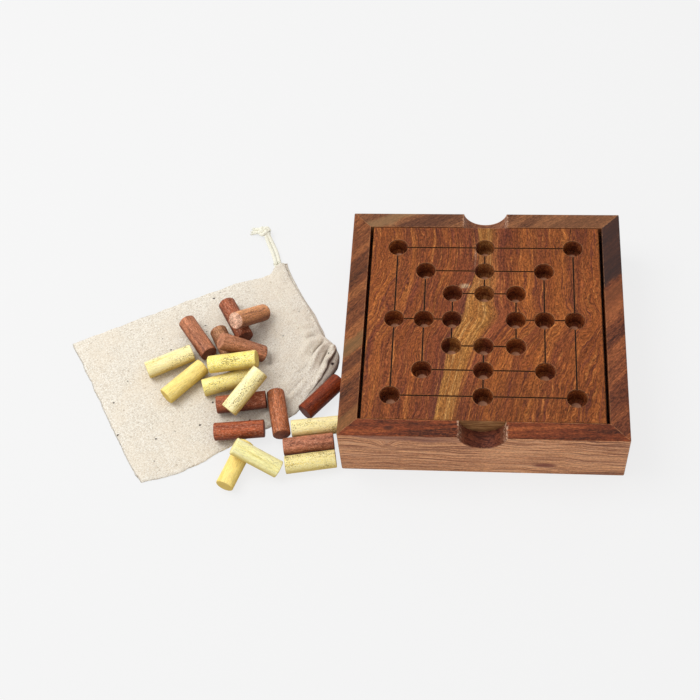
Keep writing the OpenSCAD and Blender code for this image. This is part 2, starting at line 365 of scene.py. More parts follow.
def crumple(places, size, seed):
    """Smooth random height from -1 to 1 over places in mm."""
    flat = places.reshape(-1, 2)
    values = [noise.noise(Vector((x / size, y / size, seed))) for x, y in flat]
    return np.array(values).reshape(places.shape[:-1])


def uneven(flat):
    """The same grid with edges that wander a little, as cut cloth's do."""
    near = np.exp(-np.minimum(column_share, 1 - column_share)[None, :] * SLEEVE_WIDTH / EDGE_REACH)
    near = np.maximum(near, np.exp(-row_share[:, None] * SLEEVE_LENGTH / EDGE_REACH))
    push = np.stack([crumple(flat, 9, 1) * 0.7 + crumple(flat, 2.2, 2) * 0.3,
                     crumple(flat, 9, 6) * 0.7 + crumple(flat, 2.2, 7) * 0.3], axis=-1)
    return flat + push * near[..., None]


top_flat = uneven(patch(TOP_FRONT, TOP_BACK, TOP_END, TOP_MOUTH))
under_flat = uneven(patch(UNDER_FRONT, BACK_EDGE, CLOSED_END, UNDER_MOUTH))
print("bag grid:", top_flat.shape)

# %% Draw the folds and creases
# Each rounded fold: its line in bag coordinates, its height and its half width, in mm
FOLDS = (
    (((0.8, 32.6), (-3.5, 34.6), (-7.6, 35.6), (-12, 34), (-18, 28.5)), 1.7, 1.9),
    (((0.9, 30.2), (-3.5, 30.4), (-8, 28.0), (-12, 24.3), (-18, 19.5)), 1.9, 1.4),
    (((1.4, 27.4), (-1.2, 24.2), (-4.4, 22.0), (-7.6, 18.8), (-12.8, 14.8), (-16.5, 12.0), (-25, 7.6)),
     1.9, 1.25),
    (((1.6, 28.9), (0.4, 27.4), (-0.6, 25.6)), 1.3, 0.9),
    (((-11.4, 41.9), (-7.4, 42), (-4.8, 41.2), (-1.8, 39.4)), 1.1, 1.3),
    (((-3, 45.6), (-7, 47.4), (-12, 47)), 0.5, 1.4),
    (((-2, 51), (-7, 53), (-13, 53.6)), 0.4, 1.6),
    (((-16, 17.5), (-30, 10.3), (-48, 5.4), (-66, 2.8)), 0.9, 1.5),
    (((-18, 23), (-34, 17), (-52, 12)), 0.6, 2.6),
    (((-20, 36), (-30, 31), (-40, 30)), 0.6, 3.0),
    (((-3, 60), (-12, 62), (-24, 70)), 0.4, 2.6),
    (((-24, 30), (-44, 34), (-70, 30), (-96, 34)), 0.4, 6.0),
    (((-30, 60), (-60, 66), (-96, 62)), 0.4, 7.0),
    (((-100, 12), (-104, 40), (-108, 74)), 0.35, 5.0))
# Each sharp crease: its line, its depth and its half width
CREASES = (
    (((-1.6, 33.9), (-3.8, 32.8), (-6.5, 31.9), (-9.7, 30.1), (-12, 27.6)), 2.3, 0.55),
    (((-0.9, 28.9), (-2.2, 28.2), (-5, 25.9), (-8.8, 22.4), (-11.4, 19.6)), 2.0, 0.55),
    (((-10.6, 39.9), (-6.5, 39.6), (-3.4, 38.2)), 0.9, 0.5),
    (((-2.6, 43.4), (-6, 44.8), (-9, 44.9)), 0.45, 0.6),
    (((-2.4, 48.9), (-6, 50.2)), 0.4, 0.6),
    (((-17, 20.4), (-30, 13.2), (-44, 8.8)), 0.6, 0.8),
    (((-13, 27), (-18, 23.5), (-24, 21.5)), 0.6, 0.8))
print("folds:", len(FOLDS), "creases:", len(CREASES))

# %% Helpers for folds
EVEN = np.linspace(0, 1, 24)


def distance_to_line(places, line):
    """How far each place is from a line, and how near the line's middle it is."""
    nearest = np.full(places.shape[:-1], 1e9)
    share = np.zeros(places.shape[:-1])
    spans = np.linalg.norm(np.diff(line, axis=0), axis=1)
    before = np.concatenate([[0], np.cumsum(spans)]) / spans.sum()
    for i, (a, b) in enumerate(zip(line, line[1:])):
        t = np.clip(((places - a) @ (b - a)) / ((b - a) @ (b - a)), 0, 1)
        far = np.linalg.norm(places - (a + t[..., None] * (b - a)), axis=-1)
        closer = far < nearest
        nearest = np.where(closer, far, nearest)
        share = np.where(closer, before[i] + t * (before[i + 1] - before[i]), share)
    return nearest, np.clip(4 * share, 0, 1) * np.clip(3 * (1 - share), 0, 1)


def fold_height(places):
    """What all folds add to the height and all creases take from it."""
    height = np.zeros(places.shape[:-1])
    for line, lift, width in FOLDS:
        far, strength = distance_to_line(places, edge_line(line, EVEN))
        height += lift * np.exp(-(far / width) ** 2) * strength
    for line, depth, width in CREASES:
        far, strength = distance_to_line(places, edge_line(line, EVEN))
        height -= depth * np.exp(-far / width) * strength
    return height


def smooth_step(value, low, high):
    t = np.clip((value - low) / (high - low), 0, 1)
    return t * t * (3 - 2 * t)


def to_world(places, heights):
    """Points in mm of the shared frame, from places on the bag."""
    turn = np.array(((math.cos(BAG_TURN), -math.sin(BAG_TURN)), (math.sin(BAG_TURN), math.cos(BAG_TURN))))
    flat = places @ turn.T + np.array(BAG_CORNER)[:2]
    return np.concatenate([flat, heights[..., None]], axis=-1)


print("highest fold:", max(lift for _, lift, _ in FOLDS), "mm")

# %% Find where the pegs lie
PEG_NAMES = [f"yellow_peg_{i}" for i in range(1, 10)] + [f"brown_peg_{i}" for i in range(1, 11)]
PEG_R = 4.5
PEG_LENGTH = 25.0
peg_places = {}
for name in PEG_NAMES:
    found = np.array([v.co for v in nodes[name].data.vertices]) / MM
    middle = (found.min(axis=0) + found.max(axis=0)) / 2
    axis = np.linalg.svd(np.unique(found.round(4), axis=0) - found.mean(axis=0))[2][0]
    peg_places[name] = (middle, axis if axis[0] > 0 else -axis)
middle, axis = peg_places["yellow_peg_1"]
print("yellow_peg_1 lies at", middle.round(1), "along", axis.round(2))


# %% Helper for the room under the pegs
def under_pegs(world):
    """The height of the lowest peg surface over each place, or a large number."""
    room = np.full(world.shape[:-1], 99.0)
    for middle, axis in peg_places.values():
        level = np.linalg.norm(axis[:2])
        ahead = axis[:2] / level
        offset = world[..., :2] - middle[:2]
        along = offset @ ahead
        beside = np.abs(offset @ np.array((-ahead[1], ahead[0])))
        over = np.abs(along) < PEG_LENGTH / 2 * level + PEG_R * abs(axis[2]) + 0.4
        drop = np.sqrt(np.clip(PEG_R ** 2 - beside ** 2, 0, None)) / level
        lowest = middle[2] + along * axis[2] / level - drop
        room = np.where(over & (beside < PEG_R), np.minimum(room, lowest), room)
    return room


print("room under the middle of yellow_peg_1:", under_pegs(middle[None])[0].round(2), "mm")

# %% Raise the cloth, but not into the pegs
CLOTH = 0.38
UNDER_Z = 0.24
TOP_EDGE_Z = UNDER_Z + CLOTH + 0.04
PEG_GAP = 0.14
HEM_WIDTH = 11
PUFF = 0.5
PUFF_FROM_SEAM = 7
HEM_RISE = 0.5
GATHER_RISE = 1.7
CORD_RISE = 2.35
FRONT_TIP = np.array((0, 24))
TIP_FADE = (32, 12)
to_mouth = (row_share - 1)[:, None] * SLEEVE_LENGTH
from_front = column_share[None, :] * SLEEVE_WIDTH
from_side = np.minimum(from_front, SLEEVE_WIDTH - from_front)
# Where the empty layers part, where the hem is thicker, and where the cord draws the cloth in
puff = smooth_step(from_side, 0, PUFF_FROM_SEAM)
puff = puff * smooth_step(to_mouth, -SLEEVE_LENGTH, PUFF_FROM_SEAM - SLEEVE_LENGTH)
hem_rise = smooth_step(to_mouth, -HEM_WIDTH - 2.5, -HEM_WIDTH + 1.0) * smooth_step(from_side, 0, 4)
gather = np.exp(-((top_flat[..., 0] + 1) / 10) ** 2 - ((top_flat[..., 1] - 27) / 9) ** 2)
cord_bulge = np.exp(-((top_flat[..., 0] - EXIT_X) / 3.4) ** 4) * smooth_step(top_flat[..., 1], 76, 83)
near_tip = smooth_step(np.linalg.norm(top_flat - FRONT_TIP, axis=-1), *TIP_FADE)
edge_room = np.maximum(smooth_step(from_side, 0, 2.5), 0.85 * near_tip)
top_z = TOP_EDGE_Z + PUFF * puff + HEM_RISE * hem_rise * (1 - gather) * (1 - cord_bulge)
top_z += (GATHER_RISE * gather + fold_height(top_flat)) * edge_room
top_z += (CORD_RISE - PUFF * puff) * cord_bulge
# Small unevenness of the cloth, and finer puckers along the seam of the hem
top_z += 0.30 * crumple(top_flat, 14, 3) * puff + 0.12 * crumple(top_flat, 5, 8) * puff
top_z += 0.25 * hem_rise * crumple(top_flat * np.array((0.4, 1)), 3.2, 5)
top_world = to_world(top_flat, top_z)
ceiling = under_pegs(top_world) - CLOTH / 2 - PEG_GAP
top_z = np.clip(np.minimum(top_z, ceiling), TOP_EDGE_Z, None)
top_world[..., 2] = top_z
under_world = to_world(under_flat, np.full((ROWS, ACROSS), UNDER_Z))
print("top of the cloth is at", round(float(top_z.max() + CLOTH / 2), 2), "mm")

# %% Sew the sleeve
# The lip joins the layers at the front edge: its points' shares of the way down, and their bulge
LIP_SHARE = (0.03, 0.10, 0.19, 0.29, 0.40, 0.52, 0.64, 0.76, 0.87, 0.96)
LIP_BULGE = (0.68, 0.46, 0.42, 0.52, 0.60, 0.63, 0.60, 0.50, 0.36, 0.16)
LIP_STEPS = len(LIP_SHARE)


def wrapped_faces(rows, loop):
    """Faces between rows of points, where each row closes to a loop."""
    faces = []
    for i in range(rows - 1):
        for k in range(loop):
            here, there = i * loop, (i + 1) * loop
            faces.append((here + k, there + k, there + (k + 1) % loop, here + (k + 1) % loop))
    return faces


def between(first, last, swell):
    """Rows of points from one edge to another; a low roll of cloth where it swells."""
    rows = []
    for share, bulge in zip(LIP_SHARE, LIP_BULGE):
        row = first * (1 - share) + last * share
        plain = np.maximum(row[:, 2], min(first[:, 2].min(), TOP_EDGE_Z) * min(1, 1.6 - share))
        row[:, 2] = plain * (1 - swell) + swell * (UNDER_Z + bulge * (first[:, 2] - UNDER_Z))
        rows.append(row)
    return rows


tip_reach = np.linalg.norm(top_flat[:, 0] - FRONT_TIP, axis=-1)
swell = smooth_step(tip_reach, *TIP_FADE)
lip_rows = between(top_world[:, 0].copy(), under_world[:, 0].copy(), swell)
back_rows = between(under_world[:, -1].copy(), top_world[:, -1].copy(), np.zeros(ROWS))
columns = [top_world[:, k] for k in range(ACROSS - 1, -1, -1)] + lip_rows
columns += [under_world[:, k] for k in range(ACROSS)] + back_rows
loop = len(columns)
sleeve_points = np.stack(columns, axis=1).reshape(-1, 3)
sleeve_faces = wrapped_faces(ROWS, loop)


def column_below(k):
    """The under layer's column that a column of the top layer lies on."""
    return 2 * ACROSS + LIP_STEPS - 1 - k


for k in range(ACROSS - 1):
    sleeve_faces.append((k, k + 1, column_below(k + 1), column_below(k)))
bag = add_mesh("bag_cloth", sleeve_points, sleeve_faces)
print("points round the sleeve:", loop)

# %% Give the cloth its own flat coordinates
CLOTH_LENGTH = 122
UV_UNIT = 100
cloth_map = bag.data.uv_layers.new(name="cloth")
lip_run = np.array(LIP_SHARE) * 2
across_run = np.concatenate([-column_share[::-1] * BAG_WIDTH, lip_run, 2 + column_share * BAG_WIDTH,
                             2 + BAG_WIDTH + lip_run])
for polygon in bag.data.polygons:
    ks = [bag.data.loops[i].vertex_index % loop for i in polygon.loop_indices]
    wrap = max(ks) - min(ks) == loop - 1
    at_end = 2 < max(ks) - min(ks) < loop - 1
    for i, k in zip(polygon.loop_indices, ks):
        row = bag.data.loops[i].vertex_index // loop
        beyond = at_end and k >= ACROSS
        if beyond:
            k = column_below(k)
        run = across_run[-1] + 0.1 if wrap and k == 0 else across_run[k]
        cloth_map.data[i].uv = (row_share[row] * (CLOTH_LENGTH / UV_UNIT) - 0.01 * beyond, run / UV_UNIT)
print("the cloth round the sleeve is", round(float(across_run[-1])), "mm")


# %% Shade the cloth in its own folds
def crease_shade(places):
    """How much of the light each place loses in the creases, from 0 to 1."""
    shade = np.zeros(places.shape[:-1])
    for line, depth, _ in CREASES:
        far, strength = distance_to_line(places, edge_line(line, EVEN))
        shade = np.maximum(shade, min(1, depth / 1.8) * np.exp(-(far / 0.6) ** 2) * strength)
    return shade


def spot_shade(centre, radius, power, depth):
    """The shade round one place of the cloth."""
    middle = to_world(np.array([centre]), np.zeros(1))[0, :2]
    far = np.linalg.norm(sleeve_points[:, :2] - middle, axis=1)
    return np.exp(-(far / radius) ** power) * depth


def keep_in_mesh(thing, name, kind, values):
    """Store a value for each point, which a material reads by its name."""
    key = {"FLOAT": "value", "FLOAT_VECTOR": "vector", "FLOAT_COLOR": "color"}[kind]
    thing.data.attributes.new(name, kind, "POINT").data.foreach_set(key, values)


# Painted shade: a dark spot for the eyelet's hole, and a softer shade beside it where the fold meets the
# lip
EYELET = (-3.9, 18.8)
EYELET_SHADE = (EYELET[0] - 0.8, EYELET[1] + 1.4)
# How much painted shade the lip has at each of its points, from the top edge down
LIP_SHADE = (1.00, 1.22, 1.05, 0.80, 0.66, 0.60, 0.60, 0.70, 1.00, 1.30)
CREASE_DEPTH = 0.75
MOUTH_DEPTH = 0.30
top_shade = crease_shade(top_flat) * CREASE_DEPTH
# Painted shade on the under layer's strip at the mouth, and a dark outline along its edge near the tip
mouth_shade = smooth_step(to_mouth, -5, -1.5) * np.ones((1, ACROSS)) * MOUTH_DEPTH
shade_reach = smooth_step(tip_reach, 44, 16)
lip_shades = [shade_reach * s for s in LIP_SHADE]
mouth_shade[:, :2] = np.maximum(mouth_shade[:, :2], shade_reach[:, None] * 1.3)
shade = [top_shade[:, k] for k in range(ACROSS - 1, -1, -1)] + lip_shades
shade += [mouth_shade[:, k] for k in range(ACROSS)] + [np.zeros(ROWS)] * LIP_STEPS
shade = np.stack(shade, axis=1).ravel()
shade = np.maximum(shade, spot_shade(EYELET_SHADE, 1.9, 2, 1.15))
shade = np.maximum(shade, spot_shade(EYELET, 1.0, 4, 1.7))
keep_in_mesh(bag, "fold_shade", "FLOAT", shade)
print("deepest shade:", round(float(shade.max()), 2))


# %% Thicken the cloth
def fresh_normals(thing):
    """Turn every face outwards."""
    shape = bmesh.new()
    shape.from_mesh(thing.data)
    bmesh.ops.recalc_face_normals(shape, faces=shape.faces)
    shape.to_mesh(thing.data)
    shape.free()


def nothing_selected():
    bpy.ops.object.select_all(action="DESELECT")


def select_alone(thing):
    nothing_selected()
    bpy.context.view_layer.objects.active = thing
    thing.select_set(True)


def finish_with(thing, kind, **settings):
    """Add a modifier and apply it, as by hand."""
    select_alone(thing)
    made = thing.modifiers.new(kind.lower(), kind)
    for name, value in settings.items():
        setattr(made, name, value)
    bpy.ops.object.modifier_apply(modifier=made.name)


fresh_normals(bag)
finish_with(bag, "SOLIDIFY", thickness=CLOTH * MM, offset=0, use_even_offset=False)
bag.data.polygons.foreach_set("use_smooth", [True] * len(bag.data.polygons))
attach(bag, BAG_BODY)
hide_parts("bag_body")
print("bag has", len(bag.data.polygons), "faces")

# %% [markdown]
# At the mouth the cloth is turned in and sewn down, which makes the channel for
# the cord. The turned-in band is a piece of its own here, because the model has
# the hem as its own part. Its stitches are short lengths of thread. They could be
# dots in the material, but real threads catch the light from every side.

# %% Turn in the hem
HEM_ROWS = 14
HEM_FROM = 10
HEM_CLOTH = 0.3
HEM_COLUMN = 0.82
TURN_IN = 1.02 * CLOTH


def row_at(inwards):
    """The sleeve's row this far in from the mouth, in mm."""
    return int(np.abs(row_share - (1 - inwards / SLEEVE_LENGTH)).argmin())


def hem_layer(flat, heights, inward):
    """The turned-in layer of one side of the mouth, from the edge inwards."""
    rows = []
    for i in range(HEM_ROWS):
        t = i / (HEM_ROWS - 1)
        row = row_at(t * HEM_WIDTH)
        rows.append(to_world(flat[row], heights[row] + inward * min(1, 3 * t)))
    return np.stack(rows)


hem_top = hem_layer(top_flat[:, HEM_FROM:], top_z[:, HEM_FROM:], -TURN_IN)
hem_under = hem_layer(under_flat[:, HEM_FROM:], np.full((ROWS, ACROSS - HEM_FROM), UNDER_Z), TURN_IN)
hem_under[..., 2] = np.minimum(hem_under[..., 2], np.maximum(hem_top[..., 2] - CLOTH, UNDER_Z + 0.1))
hem_points = np.concatenate([hem_top, hem_under[:, ::-1]], axis=1)
hem_loop = hem_points.shape[1]
hem = add_mesh("bag_hem_turn_in", hem_points.reshape(-1, 3), wrapped_faces(HEM_ROWS, hem_loop))
hem_map = hem.data.uv_layers.new(name="cloth")
for polygon in hem.data.polygons:
    for i in polygon.loop_indices:
        row, k = divmod(hem.data.loops[i].vertex_index, hem_loop)
        in_row = CLOTH_LENGTH - row * HEM_WIDTH / HEM_ROWS
        hem_map.data[i].uv = (in_row / UV_UNIT, k * HEM_COLUMN / UV_UNIT)
fresh_normals(hem)
finish_with(hem, "SOLIDIFY", thickness=HEM_CLOTH * MM, offset=0, use_even_offset=False)
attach(hem, BAG_BODY)
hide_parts("bag_hem")
print("hem has", len(hem.data.polygons), "faces")

# %% Stitch the hem
STITCH = 2.1
STITCH_GAP = 1.1
SEAM_MARGIN = 0.8


def stitches_along(line, radius, lift):
    """Short threads along a line, each dipping into the cloth at its ends."""
    parts = []
    run = lengths_along(line)
    start = SEAM_MARGIN
    while start + STITCH < run[-1] - SEAM_MARGIN:
        wanted = start + np.linspace(0, STITCH, 6)
        piece = np.stack([np.interp(wanted, run, line[:, i]) for i in range(3)], axis=1)
        piece[:, 2] += lift - 0.3 * np.abs(np.linspace(-1, 1, 6)) ** 3
        parts.append(thin_tube(piece, radius))
        start += STITCH + STITCH_GAP
    return parts


FIRST_SEAM_COLUMN = 24
SEAM_R = 0.15
RIM_R = 0.2
seam = stitches_along(top_world[row_at(HEM_WIDTH), FIRST_SEAM_COLUMN:-2], SEAM_R, CLOTH / 2 + 0.04)
strip = slice(int(0.72 * ACROSS), -1)
rim_line = under_world[-1, strip] * 0.62 + top_world[-1, strip] * 0.38
rim_line[:, 2] = UNDER_Z
seam += stitches_along(rim_line, RIM_R, CLOTH / 2 + 0.1)
stitching = add_mesh("hem_stitches", *joined(seam))
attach(stitching, BAG_BODY)
print("stitches:", len(seam))

# %% [markdown]
# Every peg is turned from the same dowel, so one master is modelled and copied.
# A dowel this small has soft ends from tumbling, and its faces are never quite
# flat. A plain cylinder shows neither. The master gets rings along its length
# and a bevel, and each copy is worn a little differently by a smooth noise.

# %% Model the master peg
PEG_BEVEL = 0.55
PEG_RINGS = 23
END_RINGS = (1.2, 1.4)
nothing_selected()
bpy.ops.mesh.primitive_cylinder_add(vertices=40, radius=PEG_R * MM, depth=PEG_LENGTH * MM)
master = bpy.context.object
master.name = "master_peg"
bpy.ops.object.mode_set(mode="EDIT")


def rise_of(edge):
    return abs(edge.verts[0].co.z - edge.verts[1].co.z)


def select_parts(kind, test):
    """Select just the edges or faces of the master that pass a test."""
    bpy.ops.mesh.select_mode(type=kind)
    bpy.ops.mesh.select_all(action="DESELECT")
    shape = bmesh.from_edit_mesh(master.data)
    for part in shape.edges if kind == "EDGE" else shape.faces:
        part.select_set(test(part))
    bmesh.update_edit_mesh(master.data)


select_parts("EDGE", lambda edge: rise_of(edge) < 1e-5)
bpy.ops.mesh.bevel(offset=PEG_BEVEL * MM, segments=3, profile=0.6)
select_parts("EDGE", lambda edge: rise_of(edge) > PEG_LENGTH / 2 * MM)
bpy.ops.mesh.subdivide(number_cuts=PEG_RINGS)
select_parts("FACE", lambda face: len(face.verts) > 4)
for ring in END_RINGS:
    bpy.ops.mesh.inset(thickness=ring * MM)
bpy.ops.mesh.poke()
bpy.ops.object.mode_set(mode="OBJECT")
print("master peg:", len(master.data.polygons), "faces")

# %% Choose the stains of the pegs
STAINS = {
    "lemon": (254, 239, 170), "pale lemon": (255, 247, 174), "golden": (255, 228, 134),
    "straw": (255, 236, 138), "deep straw": (255, 234, 122), "dull straw": (243, 225, 148),
    "red": (164, 83, 49), "brick": (150, 80, 50), "dark red": (118, 45, 13),
    "streaky": (172, 109, 76), "tan": (214, 148, 96), "olive brown": (150, 102, 66),
    "rosy": (174, 114, 80), "orange": (178, 104, 65), "pink": (172, 108, 79),
    "pale end": (218, 172, 144), "grey end": (160, 120, 98)}
END_STAINS = {"brown_peg_3": "pale end", "brown_peg_4": "grey end"}
PEG_STAINS = {
    "yellow_peg_1": "lemon", "yellow_peg_2": "golden", "yellow_peg_3": "deep straw",
    "yellow_peg_4": "straw", "yellow_peg_5": "lemon", "yellow_peg_6": "lemon",
    "yellow_peg_7": "dull straw", "yellow_peg_8": "pale lemon", "yellow_peg_9": "golden",
    "brown_peg_1": "streaky", "brown_peg_2": "brick", "brown_peg_3": "tan",
    "brown_peg_4": "olive brown", "brown_peg_5": "rosy", "brown_peg_6": "brick",
    "brown_peg_7": "orange", "brown_peg_8": "red", "brown_peg_9": "pink",
    "brown_peg_10": "dark red"}
# How strong the dots and flecks are, where a peg has fewer than the others
FEW_DOTS = {"yellow_peg_2": 0.25, "yellow_peg_9": 0.1, "yellow_peg_8": 0.4, "brown_peg_1": 0.5,
            "brown_peg_10": 0.15, "brown_peg_8": 0.8}


def tone(red, green, blue):
    """A screen colour, 0 to 255, as the linear one that Blender wants."""
    linear = [((c / 255 + 0.055) / 1.055) ** 2.4 for c in (red, green, blue)]
    return (*linear, 1.0)


print("stains:", len(STAINS))

# %% Copy the master to every place
END_DEPTH = 0.2
CUT_DEPTH = 0.7


def peg_body(name):
    return name.replace("_peg", "")


def wear_at(place):
    """How deep handling has worn the wood, in mm."""
    return 0.10 * (1 + noise.noise(place / 5.0)) + 0.05 * (1 + noise.noise(place / 1.7))


pegs = {}
for number, name in enumerate(PEG_NAMES):
    middle, axis = peg_places[name]
    peg = master.copy()
    peg.data = master.data.copy()
    peg.name = "worn_" + name
    scene.collection.objects.link(peg)
    local = np.array([v.co for v in peg.data.vertices]) / MM
    # Each peg has its own part of the grain
    shift = np.array((37.0, 53.0, 71.0)) * (number + 1)
    keep_in_mesh(peg, "grain_space", "FLOAT_VECTOR", (local + shift).ravel())
    dotted = FEW_DOTS.get(name, 1.0)
    body = (*tone(*STAINS[PEG_STAINS[name]])[:3], dotted)
    ends = (*tone(*STAINS[END_STAINS.get(name, PEG_STAINS[name])])[:3], dotted)
    at_end = np.abs(local[:, 2]) > PEG_LENGTH / 2 - END_DEPTH
    keep_in_mesh(peg, "stain", "FLOAT_COLOR", np.where(at_end[:, None], ends, body).ravel())
    for vertex, place in zip(peg.data.vertices, local):
        wear = wear_at(Vector(place + shift))
        outwards = Vector((place[0], place[1], 0)).normalized()
        vertex.co -= outwards * wear * 0.5 * MM
        if abs(place[2]) > PEG_LENGTH / 2 - CUT_DEPTH:
            vertex.co.z -= math.copysign(0.6 * wear * MM, place[2])
    turn = Vector((0, 0, 1)).rotation_difference(Vector(axis)).to_matrix().to_4x4()
    spin = Matrix.Rotation(number * 1.7, 4, "Z")
    peg.data.transform(Matrix.Translation(Vector(middle) * MM) @ turn @ spin)
    select_alone(peg)
    bpy.ops.object.shade_smooth_by_angle(angle=math.radians(50))
    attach(peg, peg_body(name))
    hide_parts(name)
    pegs[name] = peg
bpy.data.objects.remove(master)
print("pegs:", len(pegs))

# %% [markdown]
# The finishes are built from a few effects that several of them share. Wood
# grain is one such effect: bands of light and dark that run along the piece,
# finer fibres in them, and open pores that show as short dark strokes on a face
# and as dots on an end. A picture of wood could be wrapped round each piece, but
# a solid pattern runs through the block, so faces and ends always agree. The
# helpers add nodes to one tree at a time, which a new group or finish replaces.

# %% Helpers for numbers
tree = None


def put(kind, inputs=None, **settings):
    """Add a node to the tree, set it, and wire or fill its inputs."""
    made = tree.nodes.new("ShaderNode" + kind)
    for name, value in settings.items():
        setattr(made, name, value)
    for socket, value in (inputs or {}).items():
        if isinstance(value, bpy.types.NodeSocket):
            tree.links.new(value, made.inputs[socket])
        else:
            made.inputs[socket].default_value = value
    return made


def maths(operation, *values, clamp=False):
    return put("Math", dict(enumerate(values)), operation=operation, use_clamp=clamp).outputs[0]


def plus(first, second):
    return maths("ADD", first, second)


def minus(first, second):
    return maths("SUBTRACT", first, second)


def times(value, *factors):
    for factor in factors:
        value = maths("MULTIPLY", value, factor)
    return value


def times_plus(value, factor, offset):
    return maths("MULTIPLY_ADD", value, factor, offset)


def is_within(value, low, high):
    return times(maths("GREATER_THAN", value, low), maths("LESS_THAN", value, high))


print("helpers for numbers are ready")


# %% Helpers for vectors
def vectors(operation, inputs, output="Vector"):
    return put("VectorMath", inputs, operation=operation).outputs[output]


def scaled(vector, factors):
    return vectors("MULTIPLY", {0: vector, 1: factors})


def shifted(vector, offset):
    return vectors("ADD", {0: vector, 1: offset})


def resized(vector, factor):
    return vectors("SCALE", {0: vector, 3: factor})


def split(vector):
    return put("SeparateXYZ", {0: vector}).outputs


def vector_of(x, y, z=0.0):
    return put("CombineXYZ", {0: x, 1: y, 2: z}).outputs[0]


print("helpers for vectors are ready")


# %% Helpers for noise and colour
def cloudy(vector, scale, detail=3.0, rough=0.55, warp=0.0):
    """Smooth noise; three scales stretch it along the three axes."""
    if isinstance(scale, tuple):
        vector, scale = scaled(vector, scale), 1.0
    made = put("TexNoise", {"Vector": vector, "Scale": scale, "Detail": detail, "Roughness": rough,
                            "Distortion": warp})
    return made.outputs["Fac"]


def fade(value, low, high, to_low=0.0, to_high=1.0, smooth=True):
    """A value brought from one span to another, and held at both ends."""
    sockets = {"Value": value, "From Min": low, "From Max": high, "To Min": to_low, "To Max": to_high}
    kind = "SMOOTHSTEP" if smooth else "LINEAR"
    return put("MapRange", sockets, interpolation_type=kind).outputs["Result"]


def mixed(share, first, second, mode="MIX"):
    return put("Mix", {0: share, 6: first, 7: second}, data_type="RGBA", blend_type=mode).outputs[2]


def multiplied(colour, factors):
    """The colour, with its red, green and blue multiplied."""
    return mixed(1.0, colour, (*factors, 1), "MULTIPLY")


def tinted(colour, share, tint, strength=1.0):
    """The colour, moved towards a screen colour by a share."""
    if strength != 1.0:
        share = times(share, strength)
    return mixed(share, colour, tone(*tint))


def ramp(value, stops):
    """A colour ramp through (place, colour) stops."""
    made = put("ValToRGB", {0: value})
    marks = made.color_ramp.elements
    while len(marks) < len(stops):
        marks.new(0.5)
    for mark, (place, colour) in zip(marks, stops):
        mark.position = place
        mark.color = colour
    return made.outputs[0]


print("a screen grey of 128 is", round(tone(128, 128, 128)[0], 3), "in linear light")

# %% Helpers for places
MM_IN_M = (1 / MM, 1 / MM, 1 / MM)


def object_place(heading=0.0, centre=(0, 0, 0)):
    """Object coordinates in mm, with the grain's direction along X."""
    turn = (0, 0, -math.radians(heading))
    place = put("TexCoord").outputs["Object"]
    made = put("Mapping", {"Vector": place, "Rotation": turn, "Scale": MM_IN_M})
    return shifted(made.outputs[0], centre)


def facing_up():
    """How much each face looks upwards, from -1 to 1."""
    return split(put("TexCoord").outputs["Normal"])["Z"]


print("millimetres in a metre:", MM_IN_M[0])


# %% Helpers for groups and finishes
def new_group(name, inputs, outputs):
    """A node group with named sockets: its tree, what it is given and its results."""
    global tree
    tree = bpy.data.node_groups.new(name, "ShaderNodeTree")
    for side, sockets in (("INPUT", inputs), ("OUTPUT", outputs)):
        for label, (kind, value) in sockets.items():
            made = tree.interface.new_socket(name=label, in_out=side, socket_type="NodeSocket" + kind)
            if value is not None:
                made.default_value = value
    return tree, tree.nodes.new("NodeGroupInput").outputs, tree.nodes.new("NodeGroupOutput").inputs


def hand_out(result, **values):
    """Wire what a group gives back."""
    for label, value in values.items():
        tree.links.new(value, result[label])


def new_finish(name, specular=0.35, **settings):
    """A material with one Principled shader. Its tree is the one to add to."""
    global tree
    material = bpy.data.materials.new(name)
    material.use_nodes = True
    tree = material.node_tree
    shader = tree.nodes["Principled BSDF"]
    shader.inputs["Specular IOR Level"].default_value = specular
    for socket, value in settings.items():
        shader.inputs[socket.replace("_", " ")].default_value = value
    return material, shader


def wire(shader, colour, roughness, height, strength, depth):
    """Colour, roughness and a bump, wired into the shader."""
    tree.links.new(colour, shader.inputs["Base Color"])
    if roughness is not None:
        tree.links.new(roughness, shader.inputs["Roughness"])
    bump = put("Bump", {"Height": height, "Strength": strength, "Distance": depth * MM})
    tree.links.new(bump.outputs[0], shader.inputs["Normal"])


def dress(thing, material):
    thing.data.materials.clear()
    thing.data.materials.append(material)


COLOR, VALUE, PLACE = ("Color", None), ("Float", 1.0), ("Vector", None)
print("helpers for groups and finishes are ready")

# %% Open the group of the wood grain
grain_group, given, result = new_group(
    "wood_grain",
    {"Place": PLACE, "Light": COLOR, "Middle": COLOR, "Dark": COLOR, "Band Width": ("Float", 6.0),
     "Waviness": ("Float", 1.5), "Contrast": VALUE, "Pores": ("Float", 0.6), "Fibre": ("Float", 0.5),
     "Flame": ("Float", 0.6), "Dash": VALUE, "Grit": ("Float", 0.6)},
    {"Color": COLOR, "Height": ("Float", None), "Roughness": ("Float", None)})
light, dark, flame = given["Light"], given["Dark"], given["Flame"]


def drift(vector, scale, across, share):
    """Move a vector across the grain by smooth noise."""
    wind = put("TexNoise", {"Vector": scaled(vector, scale), "Scale": 1.0, "Detail": 2.0})
    push = shifted(wind.outputs["Color"], (-0.5, -0.5, -0.5))
    return shifted(vector, resized(scaled(push, (0, across, across)), share))


def shaded(colour, clouds, low, high, share, depth):
    """A colour made lighter and darker by a noise."""
    swing = fade(clouds, low, high, -1.0, 1.0, smooth=False)
    return resized(colour, times_plus(times(swing, share), depth, 1.0))


print("sockets of the wood grain:", len(given) - 1)

